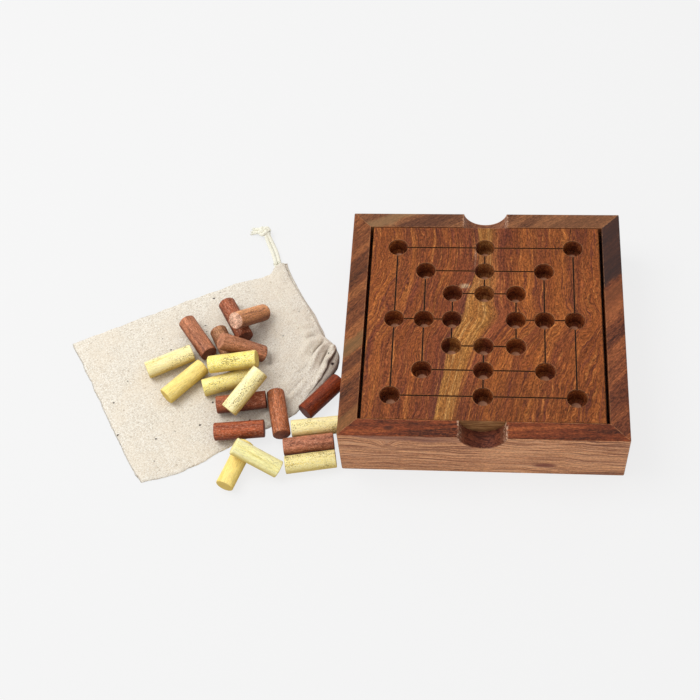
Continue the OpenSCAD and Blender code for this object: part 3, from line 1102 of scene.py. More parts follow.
# %% The grain of the woods
swayed = drift(given["Place"], (0.022, 0.05, 0.05), 4.0, given["Waviness"])
band_place = resized(swayed, maths("DIVIDE", 1.0, given["Band Width"]))
bands = cloudy(band_place, (0.07, 1.0, 1.0), 2.0, 0.5)
bands = times_plus(minus(bands, 0.5), given["Contrast"], 0.5)
fine_bands = cloudy(swayed, (0.03, 0.75, 0.75), 3.0, 0.6)
figure = times_plus(minus(fine_bands, 0.5), 0.7, bands)
colour = mixed(fade(figure, 0.24, 0.5), dark, given["Middle"])
colour = mixed(fade(figure, 0.5, 0.78), colour, light)
# Short curved strokes, lighter and darker, where the fibres lie across each other
curled = drift(swayed, (0.05, 0.14, 0.14), 1.0, flame)
dash_place = resized(curled, maths("DIVIDE", 1.0, given["Dash"]))
dashes = cloudy(dash_place, (0.14, 1.5, 1.5), 4.0, 0.75)
colour = mixed(times(fade(dashes, 0.50, 0.66, smooth=False), flame), colour, light)
colour = mixed(times(fade(dashes, 0.50, 0.34, smooth=False), flame), colour, dark)
fibres = cloudy(curled, (0.3, 1.9, 1.9), 3.0, 0.7)
colour = shaded(colour, fibres, 0.36, 0.64, given["Fibre"], 0.34)
pores = cloudy(curled, (0.42, 3.1, 3.1), 1.0, 0.4)
pores = times(fade(pores, 0.635, 0.70), given["Pores"])
colour = mixed(times(pores, 0.8), colour, multiplied(dark, (0.6, 0.6, 0.6)))
# Fine grit and glints, from where the saw and the sander tore the fibres
grit = cloudy(shifted(scaled(curled, (0.8, 1.6, 1.6)), (9, 30, 4)), 1.0, 2.0, 0.75)
colour = shaded(colour, grit, 0.40, 0.60, given["Grit"], 0.42)
glints = cloudy(shifted(scaled(curled, (0.6, 2.3, 2.3)), (50, 20, 0)), 1.0, 2.0, 0.6)
glints = times(fade(glints, 0.56, 0.66), given["Grit"], 0.55)
colour = mixed(glints, colour, multiplied(light, (1.25, 1.3, 1.4)))
height = times_plus(pores, -1.0, times(fibres, 0.35))
height = times_plus(times(dashes, flame), 0.8, height)
hand_out(result, Color=colour, Height=height, Roughness=fade(fibres, 0.2, 0.8, 0.66, 0.5))


def grain_in(place, light, middle, dark, **values):
    """Place the grain group in a material with its own colours."""
    sockets = {"Place": place, "Light": light, "Middle": middle, "Dark": dark}
    sockets.update((label.replace("_", " "), value) for label, value in values.items())
    return put("Group", sockets, node_tree=grain_group).outputs


print("wood grain:", len(grain_group.nodes), "nodes in one group")

# %% [markdown]
# Handling rubs the edges of the board and the rails pale, and that pale line
# also stands in for a painted highlight along them; on the pegs the edges get a
# darker painted shade instead. The edges could be painted by hand on each piece,
# but then every changed size would need new paint. A Bevel node finds them
# instead: where it rounds an edge, its normal leaves the face's own, and the
# group turns that difference into a mask.

# %% The edges, for wear, painted highlight and painted shade
edge_group, given, result = new_group("edges_found", {"Radius": VALUE, "Share": VALUE}, {"Worn": VALUE})
rounded = put("Bevel", {"Radius": given["Radius"]}, samples=4).outputs[0]
plain = put("NewGeometry").outputs["Normal"]
match = vectors("DOT_PRODUCT", {0: rounded, 1: plain}, "Value")
hand_out(result, Worn=fade(match, 0.995, 0.88, 0.0, given["Share"]))


def edge_mask(radius, share):
    """Where the edges are, up to a share; it is used for wear with a painted highlight, or for painted
    shade.
    """
    return put("Group", {"Radius": radius * MM, "Share": share}, node_tree=edge_group).outputs["Worn"]


print("edge wear:", len(edge_group.nodes), "nodes")

# %% [markdown]
# The playing board is one plank of a red-brown tropical wood. A golden streak
# crosses it from back to front, with a purple band on its left. These bands
# follow one bent line, so the material first measures how far each place lies
# from that line, and takes its base colours from there. The same distance bends
# the fine grain, which is how the growth rings of a real plank run.

# %% The bands and the streak of the board
TONES = {
    "orange": (132, 70, 32), "bright orange": (147, 82, 37), "red brown": (116, 59, 32),
    "deep red": (123, 63, 35), "plum": (102, 53, 35), "gold": (147, 92, 42), "pale gold": (157, 105, 51),
    "rose": (131, 69, 41)}
HALF_BOARD = 57
STREAK_REACH = 30
STREAK_WIDTH = 13
# The y places of points on the streak's left and right edge, each with its x, in mm
STREAK_LEFT = ((-57, -22.5), (-40, -20.2), (-27.6, -18.4), (-15, -17.2), (-6, -14.2), (2, -10.8),
               (11.6, -9.4), (23.8, -5.5), (36, -3.0), (57, -4))
STREAK_RIGHT = ((-57, -13.4), (-40, -10.3), (-27.6, -7.2), (-15, -3.4), (-6, 1.6), (2, 5.4),
                (11.6, 4.4), (23.8, 5.2), (36, 4.4), (57, 5))
# Each tone of the plank, at its distance from the streak's left edge
BANDS = (
    (-46, "orange"), (-41, "bright orange"), (-37, "red brown"), (-33, "bright orange"),
    (-28, "red brown"), (-24, "orange"), (-20, "red brown"), (-15, "orange"), (-9, "red brown"),
    (-4, "deep red"), (-1.6, "plum"), (-0.3, "plum"), (0.5, "pale gold"), (5, "gold"),
    (9, "pale gold"), (11.4, "gold"), (15, "rose"), (19, "red brown"), (24, "orange"),
    (30, "bright orange"), (35, "red brown"), (41, "orange"), (47, "bright orange"),
    (52, "red brown"), (60, "orange"))
print("bands of the board:", len(BANDS))

# %% The place of each tone
board_wood, shader = new_finish("board_wood", specular=0.13)
at = object_place()
x, y, z = split(at)


def edge_curve(marks):
    """The x place of a line across the board, as a curve over y."""
    places = [((y_mark + HALF_BOARD) / (2 * HALF_BOARD), (x_mark + STREAK_REACH) / (2 * STREAK_REACH))
              for y_mark, x_mark in marks]
    made = put("FloatCurve", {1: fade(y, -HALF_BOARD, HALF_BOARD, 0, 1, smooth=False)})
    curve = made.mapping.curves[0]
    for run, _ in places[1:-1]:
        curve.points.new(run, 0.5)
    for point, place in zip(curve.points, places):
        point.location = place
    made.mapping.update()
    return times_plus(made.outputs[0], 2 * STREAK_REACH, -STREAK_REACH)


wander = cloudy(at, (0.10, 0.035, 0.05), 3.0, 0.6)
ragged = cloudy(at, (0.6, 0.10, 0.2), 3.0, 0.7)
far_out = fade(maths("ABSOLUTE", plus(x, 6.0)), 8, 26, 0.0, 9.0)
shaken = plus(x, times(minus(wander, 0.5), far_out))
past_left = minus(shaken, edge_curve(STREAK_LEFT))
past_right = minus(shaken, edge_curve(STREAK_RIGHT))
share = maths("DIVIDE", past_left, minus(past_left, past_right), clamp=True)
from_streak = plus(maths("MINIMUM", past_left, 0.0), maths("MAXIMUM", past_right, 0.0))
from_streak = times_plus(share, STREAK_WIDTH, from_streak)
band_edge = plus(from_streak, times_plus(ragged, 3.0, -1.5))
low, high = BANDS[0][0], BANDS[-1][0]
stops = [((run - low) / (high - low), tone(*TONES[name])) for run, name in BANDS]
base = ramp(fade(band_edge, low, high, 0, 1, smooth=False), stops)
bent = vector_of(y, from_streak, z)
print("stops of the board's ramp:", len(stops))


# %% The marks and the fibres of the board
def off_spot(centre, squeeze):
    """How far each place is from a spot, which the squeeze makes an oval."""
    centre = tuple(c * s for c, s in zip(centre, squeeze))
    return vectors("DISTANCE", {0: scaled(at, squeeze), 1: centre}, "Value")


# The streak is duller in the back half; the plank is darker at its back, as painted shade, and at its front
muted = times(fade(y, 6, 26, 0.0, 0.5), fade(y, 50, 42), fade(share, 0.0, 0.1), fade(past_right, 4.0, 1.0))
base = tinted(base, muted, (138, 80, 45))
base = tinted(base, fade(y, 18, 46, 0.0, 0.21), (70, 34, 20))
base = tinted(base, fade(y, -26, -46, 0.0, 0.12), (70, 34, 18))
base = tinted(base, times(fade(y, -26, -40, 0.0, 0.3), fade(share, 0.3, 0.9)), (112, 60, 26))
# A pale seam beside the streak, a chip in the streak and a dark speck
pale_seam = times(fade(wander, 0.5, 0.56), fade(past_left, -2.8, -2.2), fade(past_left, -1.0, -1.6),
                  fade(y, 12, 20))
base = tinted(base, pale_seam, (176, 132, 104), 0.5)
chip = times_plus(ragged, 2.4, off_spot((-9.4, 20.0, 0), (0.55, 0.8, 0.0)))
base = tinted(base, fade(chip, 2.9, 1.9, 0.0, 0.55), (172, 150, 120))
speck = off_spot((-37.9, 21.1, 0), (1.0, 0.7, 0.0))
base = tinted(base, fade(speck, 0.9, 0.4, 0.0, 0.8), (70, 22, 12))
in_streak = times(fade(share, 0.03, 0.2), fade(share, 1.0, 0.85))
outside = minus(1.0, in_streak)
long_fibres = cloudy(bent, (0.03, 0.85, 0.85), 3.0, 0.7)
# Long fibres of each tone: where they run, between which noise values, and how strong
FIBRES = (
    (outside, 0.46, 0.38, 0.72, (88, 42, 32)), (outside, 0.56, 0.64, 0.6, (172, 106, 54)),
    (in_streak, 0.52, 0.64, 0.55, (190, 142, 86)), (in_streak, 0.46, 0.34, 0.5, (122, 70, 34)))
for part, none_at, full_at, strength, tint in FIBRES:
    base = tinted(base, times(part, fade(long_fibres, none_at, full_at, 0.0, strength)), tint)
grain = grain_in(bent, multiplied(base, (1.75, 1.85, 1.75)), base, multiplied(base, (0.42, 0.34, 0.40)),
                 Band_Width=2.6, Waviness=0.35, Contrast=0.4, Pores=0.7, Fibre=0.8, Flame=0.3, Dash=0.55,
                 Grit=0.85)
colour = grain["Color"]
print("kinds of long fibres:", len(FIBRES))

# %% The cuts and the holes of the board
# The cuts are told apart from the holes by their place, since both are below the face
TOP_Z = 33.0
HOLE_DEPTH = 8.0
HOLE_R = 4.7
SQUARES = (15.5, 29.25, 43.75)
FACE_REACH = 56.0
below = minus(TOP_Z, z)
reach_x = maths("ABSOLUTE", x)
reach_y = maths("ABSOLUTE", y)
inside = times(maths("LESS_THAN", reach_x, FACE_REACH), maths("LESS_THAN", reach_y, FACE_REACH))
# Painted shade: the walls of the cuts and holes get darker with depth
depth_shade = mixed(fade(below, 0.6, 7.0), (1.05, 1.00, 1.05, 1), (0.86, 0.80, 0.92, 1))
cut = times(fade(below, 0.25, 0.5), inside)
colour = mixed(cut, colour, mixed(1.0, colour, depth_shade, "MULTIPLY"))
# One eighth of the board stands for all eight, since its holes repeat in each
folded = vector_of(maths("MAXIMUM", reach_x, reach_y), maths("MINIMUM", reach_x, reach_y))
from_hole = 99.0
for side in SQUARES:
    for corner in (0.0, side):
        gap = vectors("DISTANCE", {0: folded, 1: (side, corner, 0)}, "Value")
        from_hole = maths("MINIMUM", gap, from_hole)
print("holes in one eighth:", 2 * len(SQUARES))

# %% Colour the cuts and the edges
# Painted light: a pale disc in the middle of each hole's floor
hole_floor = is_within(below, HOLE_DEPTH - 0.1, HOLE_DEPTH + 0.1)
colour = tinted(colour, times(hole_floor, fade(from_hole, 2.7, 1.9, 0.0, 0.85)), (206, 150, 118))
# Painted highlight: a pale, ragged ring on the face round each hole
rim = times(fade(from_hole, HOLE_R + 0.55, HOLE_R + 0.2), maths("LESS_THAN", below, 0.05),
            fade(ragged, 0.42, 0.58, 0.05, 0.5))
colour = tinted(colour, rim, (196, 140, 96))
groove = times(is_within(below, 0.06, 0.65), maths("GREATER_THAN", from_hole, HOLE_R + 0.04), inside)
colour = tinted(colour, groove, (24, 11, 9), 0.96)
end_rings = cloudy(at, (0.12, 0.1, 1.1), 3.0, 0.6, 0.4)
end_tone = mixed(fade(end_rings, 0.42, 0.58), tone(132, 92, 58), tone(182, 134, 88))
colour = mixed(times(fade(reach_y, 56.6, 56.75), 0.85), colour, end_tone)
# Pale edges of the board: wear, and a painted highlight along them
colour = tinted(colour, edge_mask(0.4, 0.35), (196, 128, 78))
GRAIN_RELIEF = 0.16
wire(shader, colour, grain["Roughness"], grain["Height"], 0.7, GRAIN_RELIEF)
dress(nodes["playing_board"], board_wood)
print("board finish:", len(tree.nodes), "nodes")

# %% [markdown]
# The four rails are cut so that their figure runs slanting over the top, from
# the front left to the back right. The front rail is different: its grain runs
# along it, and its outer face is paler sapwood with dark wavy rings. Each rail is
# a material of its own with the grain turned, and its outer side has grain that
# runs along the rail. What the rails share is made as groups: a slanting band of
# another tone, and the wear of edges and notches, where the pale edges also carry
# a painted highlight.

# %% A slanting band of another tone
band_group, given, result = new_group(
    "slanting_band",
    {"Place": PLACE, "Color": COLOR, "Tint": COLOR, "Lean": VALUE, "Spread": VALUE, "Start": VALUE,
     "Full From": VALUE, "Full To": VALUE, "End": VALUE, "Share": VALUE}, {"Color": COLOR})
at = given["Place"]
x, y, z = split(at)
slant = plus(times_plus(x, given["Lean"], y), times(minus(z, TOP_Z), 0.8))
past = plus(slant, times(times_plus(cloudy(at, 0.13), 2.0, -1.0), given["Spread"]))
rise = fade(past, given["Start"], given["Full From"])
fall = fade(past, given["End"], given["Full To"])
hand_out(result, Color=mixed(times(rise, fall, given["Share"]), given["Color"], given["Tint"]))
print("slanting band:", len(band_group.nodes), "nodes")

# %% The wear of the rails
# A finger notch is a part of a round bore, with this radius and this height of its axis
NOTCH_R = 11.118
NOTCH_Z = 34.618
rail_wear, given, result = new_group(
    "rail_wear",
    {"Place": PLACE, "Color": COLOR, "Pale Edges": VALUE, "Scoop Dark": COLOR, "Scoop Light": COLOR},
    {"Color": COLOR})
at = given["Place"]
x, y, z = split(at)
from_axis = vectors("LENGTH", {0: vector_of(x, 0.0, minus(z, NOTCH_Z))}, "Value")
off_scoop = maths("ABSOLUTE", minus(from_axis, NOTCH_R))
swirl = cloudy(at, (0.22, 0.7, 0.4), 4.0, 0.7, 1.6)
scoop = mixed(fade(swirl, 0.42, 0.60), given["Scoop Dark"], given["Scoop Light"])
colour = mixed(times(fade(off_scoop, 0.5, 0.3), 0.85), given["Color"], scoop)
# The pale edges, wear with a painted highlight, are less at the mitres, and chipped everywhere
off_mitre = maths("ABSOLUTE", minus(maths("ABSOLUTE", x), maths("ABSOLUTE", y)))
chips = cloudy(at, 0.6, 3.0, 0.7)
worn = times(given["Pale Edges"], fade(off_mitre, 0.8, 1.6, 0.35, 1.0), fade(chips, 0.38, 0.62, 0.1, 1.0))
colour = tinted(colour, worn, (200, 142, 98))
# Pale splinters just under the rim of a notch
splinters = cloudy(at, (0.9, 0.9, 0.5), 3.0, 0.7)
near_rim = times(fade(off_scoop, 1.3, 0.1), fade(z, 28.5, 31.0, 0.0, 0.75), fade(splinters, 0.50, 0.60))
hand_out(result, Color=tinted(colour, near_rim, (206, 168, 140)))
print("rail wear:", len(rail_wear.nodes), "nodes")


# %% Helpers for the rails
def rail_finish(node, heading, tops, sides, side_heading, contrast, band=6.0, side_fibre=0.6):
    """A rail's material: slanting figure on top, lengthwise figure on its sides."""
    material, shader = new_finish(node + "_wood", specular=0.16)
    top = grain_in(object_place(heading, (13, 29, 5)), *[tone(*c) for c in tops],
                   Band_Width=band, Waviness=1.2, Contrast=contrast, Pores=0.6, Fibre=0.9, Flame=0.42,
                   Dash=0.7, Grit=0.65)
    side = grain_in(object_place(side_heading, (31, 7, 0)), *[tone(*c) for c in sides],
                    Band_Width=3.0, Waviness=1.2, Contrast=0.6, Pores=0.3, Fibre=side_fibre, Flame=0.12,
                    Dash=0.7, Grit=0.6)
    upward = fade(facing_up(), 0.45, 0.75)
    return material, shader, mixed(upward, side["Color"], top["Color"]), top, upward


def finish_rail(node, material, shader, colour, top, scoop_tones):
    """Add the wear and the bump, and put the material on the rail."""
    dark, light = scoop_tones
    sockets = {"Place": object_place(), "Color": colour, "Pale Edges": edge_mask(0.6, 0.7),
               "Scoop Dark": tone(*dark), "Scoop Light": tone(*light)}
    worn = put("Group", sockets, node_tree=rail_wear).outputs["Color"]
    wire(shader, worn, top["Roughness"], top["Height"], 0.6, GRAIN_RELIEF)
    dress(nodes[node], material)


print("nodes of the rails:", [node for node in nodes if node.endswith("_rail")])

# %% The finish of the side and back rails
PLAIN_SIDES = ((166, 106, 68), (138, 80, 50), (92, 50, 34))
DARK_SCOOP = ((58, 24, 18), (118, 62, 42))
TAN_SCOOP = ((112, 66, 44), (158, 104, 72))
# Each rail: the heading of its figure, its three tones, the heading of its sides and its
# contrast, and then how its bands lean, how unevenly they run, and its scoop's two tones
RAILS = {
    "left_rail": (49, ((142, 85, 48), (106, 58, 33), (64, 35, 23)), 90, 1.5, -0.9, 3.0, DARK_SCOOP),
    "right_rail": (47, ((143, 81, 47), (98, 51, 32), (57, 29, 22)), 90, 1.7, -1.1, 4.0, DARK_SCOOP),
    "back_rail": (34, ((138, 89, 56), (103, 63, 41), (69, 39, 27)), 0, 1.35, -0.5, 3.5, TAN_SCOOP)}
# Each slanting band: where it starts, is full and ends, its share and its tone
SLANTS = {
    "left_rail": ((35, 38, 44, 48, 0.5, (138, 106, 66)), (26, 29, 34, 36, 0.55, (66, 36, 26)),
                  (-9, -4, 2, 6, 0.4, (140, 100, 58))),
    "right_rail": ((-66, -62, -48, -45, 0.35, (158, 92, 54)), (-46.5, -43, 98, 99, 0.86, (52, 37, 34))),
    "back_rail": ((68, 71, 78, 81, 0.35, (78, 46, 34)), (82, 84.5, 88.5, 91.5, 0.45, (154, 122, 84)))}
for node, (heading, tops, side_heading, contrast, lean, spread, scoop_tones) in RAILS.items():
    material, shader, colour, top, _ = rail_finish(
        node, heading, tops, PLAIN_SIDES, side_heading, contrast)
    at = object_place()
    for start, full_from, full_to, end, share, tint in SLANTS[node]:
        sockets = {"Place": at, "Color": colour, "Tint": tone(*tint), "Lean": lean, "Spread": spread,
                   "Start": start, "Full From": full_from, "Full To": full_to, "End": end, "Share": share}
        colour = put("Group", sockets, node_tree=band_group).outputs["Color"]
    if node == "back_rail":
        colour = tinted(colour, fade(split(at)["X"], 20, 34, 0.0, 0.16), (176, 122, 80))
    finish_rail(node, material, shader, colour, top, scoop_tones)
print("rails with slanting bands:", len(RAILS))

# %% The finish of the front rail
FRONT_TOPS = ((152, 80, 42), (111, 51, 27), (58, 26, 16))
SAPWOOD_SIDES = ((228, 169, 120), (198, 137, 95), (148, 95, 65))
material, shader, colour, top, upward = rail_finish(
    "front_rail", 2, FRONT_TOPS, SAPWOOD_SIDES, 0, 1.5, band=3.0, side_fibre=0.3)
at = object_place()
x, y, z = split(at)
below_top = minus(1.0, upward)


def hill_at(centre, width, height=1.0):
    """A round hill in the rings, as beside a knot."""
    offset = scaled(shifted(at, tuple(-c for c in centre)), tuple(1 / w for w in width))
    far = vectors("LENGTH", {0: offset}, "Value")
    return times(maths("POWER", math.e, times(maths("POWER", far, 2.0), -1.0)), height)


print("nodes before the rings:", len(tree.nodes))

# %% The rings of the front rail
FRONT_Y = -67.5
EVERYWHERE = 99
# The rings rise over a knot near the left end and dip right of the middle
knot_lift = hill_at((-44.2, FRONT_Y, 24.5), (5.5, EVERYWHERE, 3.6), 4.0)
dip = hill_at((26, FRONT_Y, 4), (20, EVERYWHERE, 9), -4.0)
swell_z = cloudy(at, (0.035, 0.0, 0.05), 2.0, 0.5)
ring_z = plus(times_plus(swell_z, 9.0, z), plus(knot_lift, dip))
ring_z = times_plus(x, 0.05, ring_z)
ring_place = vector_of(times(x, 0.009), 0.0, ring_z)
rings = cloudy(ring_place, (1.0, 1.0, 0.95), 3.0, 0.7)
thin_rings = cloudy(ring_place, (3.0, 1.0, 1.6), 2.0, 0.7)
# Rings of each tone: their noise, between which of its values they fade in, how strong
RINGS = (
    (rings, 0.53, 0.58, 0.62, (106, 60, 44)), (thin_rings, 0.54, 0.58, 0.72, (112, 66, 50)),
    (thin_rings, 0.46, 0.42, 0.6, (228, 174, 134)))
for clouds, none_at, full_at, strength, tint in RINGS:
    colour = tinted(colour, times(fade(clouds, none_at, full_at), below_top), tint, strength)
colour = tinted(colour, times(fade(x, 0, 40, 0.0, 0.14), upward), (66, 30, 22))
heartwood = times(fade(plus(ring_z, -4.5), 26.0, 29.0), below_top, fade(x, 10, -30, 0.0, 0.6))
colour = tinted(colour, heartwood, (114, 68, 62))
# Dark marks, a spot and a knot's eye on the face and a knot on the top: their centre and
# half widths, between which heights of the hill they fade in, the side, the tone, how strong
MARKS = (
    ((29.8, FRONT_Y, 8.2), (7, EVERYWHERE, 2.1), 0.3, 0.8, below_top, (108, 50, 40), 0.8),
    ((-44.2, FRONT_Y, 24.3), (3.0, EVERYWHERE, 1.1), 0.4, 0.9, below_top, (112, 66, 50), 0.7),
    ((-43.6, -61.7, 33), (2.6, 1.6, 9), 0.3, 0.8, upward, (60, 30, 22), 0.7))
for centre, width, none_at, full_at, part, tint, strength in MARKS:
    colour = tinted(colour, times(fade(hill_at(centre, width), none_at, full_at), part), tint, strength)
finish_rail("front_rail", material, shader, colour, top, DARK_SCOOP)
print("front rail finish:", len(tree.nodes), "nodes")

# %% [markdown]
# The base and the four ledges are hidden while the box is closed. They could be
# left plain, but they show when the board is lifted, so they get the same grain
# in other colours. No one sees them worn, so they have no wear of their own.

# %% The finish of the hidden woods
PALE_BASE = ((196, 150, 104), (172, 122, 80), (120, 78, 52))
# The ledges' dark tones are painted shade, for the gaps beside the board where they show
SHADED_LEDGE = ((92, 58, 40), (70, 42, 30), (44, 26, 20))
HIDDEN = {"base_panel": (PALE_BASE, 0), "front_ledge": (SHADED_LEDGE, 0), "back_ledge": (SHADED_LEDGE, 0),
          "left_ledge": (SHADED_LEDGE, 90), "right_ledge": (SHADED_LEDGE, 90)}
for node, (tones, heading) in HIDDEN.items():
    material, shader = new_finish(node + "_wood", specular=0.3)
    grain = grain_in(object_place(heading, (5, 3, 2)), *[tone(*c) for c in tones],
                     Band_Width=9.0, Waviness=2.0, Contrast=1.2, Pores=0.6, Fibre=0.7)
    wire(shader, grain["Color"], grain["Roughness"], grain["Height"], 0.4, 0.12)
    dress(nodes[node], material)
print("hidden woods:", len(HIDDEN))

# %% [markdown]
# The pegs are two woods. The yellow ones are pale and close, with few dark pores.
# The brown ones are coarse and streaky. Each peg keeps the colour of its own
# piece of dowel in an attribute of its mesh, and its grain runs along it in
# coordinates that were stored before the peg was laid down. Both woods have dark
# dots in loose clusters and pale flecks, which one group makes.

# %% Dots and flecks
speckle_group, given, result = new_group(
    "dots_and_flecks",
    {"Place": PLACE, "Color": COLOR, "Amount": VALUE, "Fleck Scale": PLACE, "Fleck Color": COLOR,
     "Flecks": VALUE, "Dot Color": COLOR, "Dots": VALUE}, {"Color": COLOR, "Dots": VALUE})
dots = cloudy(given["Place"], (1.4, 3.0, 3.0), 2.0, 0.6)
patches = cloudy(given["Place"], (0.10, 0.22, 0.22), 2.0, 0.5)
dots = times(fade(times_plus(patches, 0.6, dots), 0.905, 0.965), given["Amount"])
flecks = cloudy(scaled(given["Place"], given["Fleck Scale"]), 1.0, 3.0, 0.8)
flecks = times(fade(flecks, 0.52, 0.62), given["Amount"])
colour = mixed(times(flecks, given["Flecks"]), given["Color"], given["Fleck Color"])
colour = mixed(times(dots, given["Dots"]), colour, given["Dot Color"])
hand_out(result, Color=colour, Dots=dots)
print("dots and flecks:", len(speckle_group.nodes), "nodes")


# %% The finish of the pegs
def peg_finish(name, light_share, dark_share, rim, under, relief, speckles, **values):
    """A peg's material, from the stain and the places kept in its mesh."""
    material, shader = new_finish(name, specular=0.25)
    stored = put("Attribute", attribute_name="grain_space").outputs["Vector"]
    stain = put("Attribute", attribute_name="stain").outputs
    x, y, z = split(stored)
    along = vector_of(z, x, y)
    own = stain["Color"]
    grain = grain_in(along, multiplied(own, light_share), own, multiplied(own, dark_share), Band_Width=3.0,
                     Waviness=0.6, Pores=0.2, Dash=0.6, **values)
    sockets = {"Place": along, "Color": grain["Color"], "Amount": stain["Alpha"], **speckles}
    speckled = put("Group", sockets, node_tree=speckle_group).outputs
    # Painted shade: faces that look down are tinted towards the under colour, and the edges towards the
    # darker rim colour
    colour = tinted(speckled["Color"], fade(facing_up(), 0.75, -0.15, 0.0, 0.75), under)
    colour = tinted(colour, edge_mask(0.6, 0.6), rim)
    height = times_plus(speckled["Dots"], -0.4, grain["Height"])
    wire(shader, colour, grain["Roughness"], height, relief, GRAIN_RELIEF)
    return material


# The rim and under colours of each wood are darker tones for painted shade
yellow_wood = peg_finish(
    "yellow_peg_wood", (1.03, 1.06, 1.45), (0.84, 0.75, 0.50), (176, 152, 62), (184, 150, 50), 0.4,
    {"Fleck Scale": (1.5, 2.4, 2.4), "Fleck Color": tone(255, 250, 212), "Flecks": 0.7,
     "Dot Color": tone(104, 78, 30), "Dots": 0.85}, Fibre=0.4, Contrast=0.65, Flame=0.32, Grit=0.15)
brown_wood = peg_finish(
    "brown_peg_wood", (1.6, 1.7, 1.8), (0.42, 0.34, 0.34), (118, 62, 44), (84, 36, 24), 0.7,
    {"Fleck Scale": (0.85, 1.5, 1.5), "Fleck Color": tone(226, 164, 132), "Flecks": 0.55,
     "Dot Color": tone(74, 34, 24), "Dots": 0.65}, Fibre=0.9, Contrast=0.85, Flame=0.5, Grit=0.5)
for name, peg in pegs.items():
    dress(peg, yellow_wood if name.startswith("yellow") else brown_wood)
print("pegs dressed:", len(pegs))

# %% [markdown]
# The bag is unbleached calico, a plain weave of cotton that still has flecks of
# seed husk in it. Its threads could be modelled one by one, but they are half a
# millimetre wide, so the weave is a pattern in the cloth's own flat coordinates:
# round threads that pass over and under each other, some thicker than others.

# %% The weave of the cotton
THREAD = 0.62
weave_group, given, result = new_group(
    "calico_weave", {"Place": PLACE, "Thread": ("Float", THREAD)},
    {"Height": VALUE, "Slub": VALUE, "Husk": VALUE, "Fleck": VALUE, "Knob": VALUE})
place = given["Place"]
warp_x, weft_y, _ = split(resized(place, maths("DIVIDE", 1.0, given["Thread"])))
warp = maths("ABSOLUTE", maths("SINE", times(warp_x, math.pi)))
weft = maths("ABSOLUTE", maths("SINE", times(weft_y, math.pi)))
warp_count, weft_count = maths("FLOOR", warp_x), maths("FLOOR", weft_y)
over = maths("GREATER_THAN", maths("PINGPONG", plus(warp_count, weft_count), 1.0), 0.5)
height = put("Mix", {0: over, 2: warp, 3: weft}, data_type="FLOAT").outputs[0]
knob = put("TexWhiteNoise", {"Vector": vector_of(warp_count, weft_count)}).outputs["Value"]
slub = plus(cloudy(place, (0.09, 1.9, 1.0), 2.0, 0.7), cloudy(place, (1.9, 0.09, 1.0), 2.0, 0.7))
print("threads of the weave:", THREAD, "mm wide")


# %% The husks and the flecks of the cotton
def scattered(scale, stretch, chance_from, radius, channel):
    """Small round marks at random, and how strong each one is."""
    cells = put("TexVoronoi", {"Vector": scaled(place, stretch), "Scale": scale}, feature="F1").outputs
    chance = put("SeparateColor", {0: cells["Color"]}).outputs[channel]
    size = fade(chance, chance_from, 1.0, radius * 0.4, radius, smooth=False)
    mark = fade(minus(size, cells["Distance"]), -0.3 * radius, 0.3 * radius)
    return times(mark, maths("GREATER_THAN", chance, chance_from))


husk = scattered(0.18, (1.0, 1.25, 1.0), 0.68, 0.12, "Red")
fleck = scattered(0.62, (0.7, 1.0, 1.0), 0.55, 0.22, "Green")
hand_out(result, Height=height, Slub=slub, Husk=husk, Fleck=fleck, Knob=knob)
print("weave:", len(weave_group.nodes), "nodes")

# %% The finish of the bag
calico, shader = new_finish("calico", specular=0.12, Roughness=0.92, Sheen_Weight=0.15, Sheen_Roughness=0.5)
cloth_uv = put("UVMap", uv_map="cloth").outputs[0]
cloth_place = put("Mapping", {"Vector": cloth_uv, "Scale": (UV_UNIT, UV_UNIT, UV_UNIT)}).outputs[0]
loose = put("TexNoise", {"Vector": cloth_place, "Scale": 0.5, "Detail": 2.0}).outputs["Color"]
loose = scaled(shifted(loose, (-0.5, -0.5, -0.5)), (0.8, 0.8, 0))
weave = put("Group", {"Place": shifted(cloth_place, loose)}, node_tree=weave_group).outputs
slubs = fade(weave["Slub"], 0.7, 1.3, smooth=False)
colour = mixed(slubs, tone(234, 223, 205), tone(248, 241, 226))
# Painted shade in the gaps between threads, and a painted highlight on the crowns of some threads
gaps = times(fade(weave["Height"], 0.75, 0.1), fade(weave["Knob"], 0.3, 0.95, 0.25, 1.0))
colour = tinted(colour, gaps, (140, 122, 98))
bright = times(weave["Height"], fade(weave["Knob"], 0.5, 0.1, 0.0, 0.6))
colour = tinted(colour, bright, (254, 250, 240))
colour = tinted(colour, fade(cloudy(cloth_place, 0.05, 2.0), 0.4, 0.65, 0.0, 0.4), (236, 222, 200))
pebbles = cloudy(cloth_place, 1.3, 2.0, 0.8)
colour = tinted(colour, fade(pebbles, 0.48, 0.32, 0.0, 0.52), (194, 176, 152))
colour = tinted(colour, fade(pebbles, 0.54, 0.68, 0.0, 0.68), (255, 254, 248))
colour = tinted(colour, weave["Fleck"], (152, 128, 98), 0.5)
colour = tinted(colour, weave["Husk"], (62, 48, 38))
# Painted shade from fold_shade: the creases, the lip, the mouth strip and the eyelet's hole
folds = put("Attribute", attribute_name="fold_shade").outputs["Fac"]
colour = tinted(colour, fade(folds, 0.0, 1.0, 0.0, 0.86, smooth=False), (104, 82, 74))
colour = tinted(colour, fade(folds, 1.0, 1.5), (44, 32, 30))
wire(shader, colour, None, times_plus(weave["Slub"], 0.7, weave["Height"]), 0.6, 0.2)
dress(bag, calico)
dress(hem, calico)
print("calico:", len(tree.nodes), "nodes")

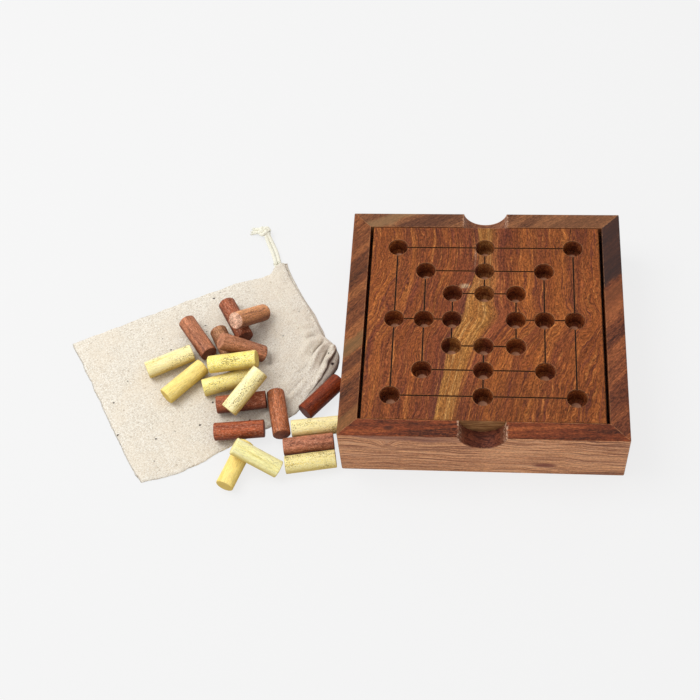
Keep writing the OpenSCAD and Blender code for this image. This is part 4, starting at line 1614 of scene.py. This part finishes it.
# %% The cotton of the cord and the thread
cord_cotton, shader = new_finish("cord_cotton", specular=0.1, Roughness=0.95, Sheen_Weight=0.25)
nap = cloudy(object_place(), 2.6, 3.0, 0.7)
wire(shader, mixed(fade(nap, 0.3, 0.7), tone(224, 220, 200), tone(246, 244, 230)), None, nap, 0.5, 0.2)
cotton_pieces = (*strands, knot, *tufts, stitching)
for thing in cotton_pieces:
    dress(thing, cord_cotton)
print("pieces of cotton:", len(cotton_pieces))

# %% [markdown]
# The set lies on a pale table under plain soft light. The table is lit a little
# and shows itself evenly to the camera, as the cut-out background of a shop
# picture does, but it keeps the shadows of the pieces. One wide lamp from the
# left gives shape, and the sky fills in the rest.

# %% The table
TABLE_SIZE = 6
TABLE_Z = -0.0002
TABLE_GLOW = 0.85
nothing_selected()
bpy.ops.mesh.primitive_plane_add(size=TABLE_SIZE, location=(0, 0, TABLE_Z))
table = bpy.context.object
table.name = "table"
bpy.ops.object.mode_set(mode="EDIT")
bpy.ops.mesh.subdivide(number_cuts=4)
bpy.ops.object.mode_set(mode="OBJECT")
PAPER = tone(245, 245, 245)


def seen_rays():
    """1 for rays that show the background itself, to the camera or in a gloss."""
    rays = put("LightPath").outputs
    gloss = maths("MAXIMUM", rays["Is Glossy Ray"], rays["Is Transmission Ray"])
    return maths("MAXIMUM", rays["Is Camera Ray"], gloss)


paper, shader = new_finish("paper", specular=0.1, Roughness=0.9, Base_Color=tone(229, 229, 229))
glow = put("Emission", {"Color": PAPER, "Strength": 1.0})
even = put("MixShader", {0: times(seen_rays(), TABLE_GLOW), 1: shader.outputs[0], 2: glow.outputs[0]})
tree.links.new(even.outputs[0], tree.nodes["Material Output"].inputs["Surface"])
dress(table, paper)
print("table:", len(table.data.polygons), "faces")

# %% The sky
SKY_LIGHT = 0.72
world = bpy.data.worlds.new("sky")
scene.world = world
world.use_nodes = True
tree = world.node_tree
sky = tree.nodes["Background"]
sky.inputs["Color"].default_value = (1, 1, 1, 1)
sky.inputs["Strength"].default_value = SKY_LIGHT
seen_sky = put("Background", {"Color": PAPER, "Strength": 1.0})
both = put("MixShader", {0: seen_rays(), 1: sky.outputs[0], 2: seen_sky.outputs[0]})
tree.links.new(both.outputs[0], tree.nodes["World Output"].inputs["Surface"])
print("sky:", len(tree.nodes), "nodes")

# %% The lamp
LAMP_PLACE = Vector((-0.50, 0.10, 0.78))
LAMP_AIM = Vector((-0.03, 0.0, 0.0))
LAMP_SIZE = 0.55
LAMP_POWER = 4.45
bpy.ops.object.light_add(type="AREA", location=LAMP_PLACE)
key = bpy.context.object
key.data.shape = "SQUARE"
key.data.size = LAMP_SIZE
key.data.energy = LAMP_POWER
key.rotation_euler = (LAMP_AIM - LAMP_PLACE).to_track_quat("-Z", "Y").to_euler()
scene.view_settings.view_transform = "Standard"
print("lamp:", round(key.data.energy, 2), "W")
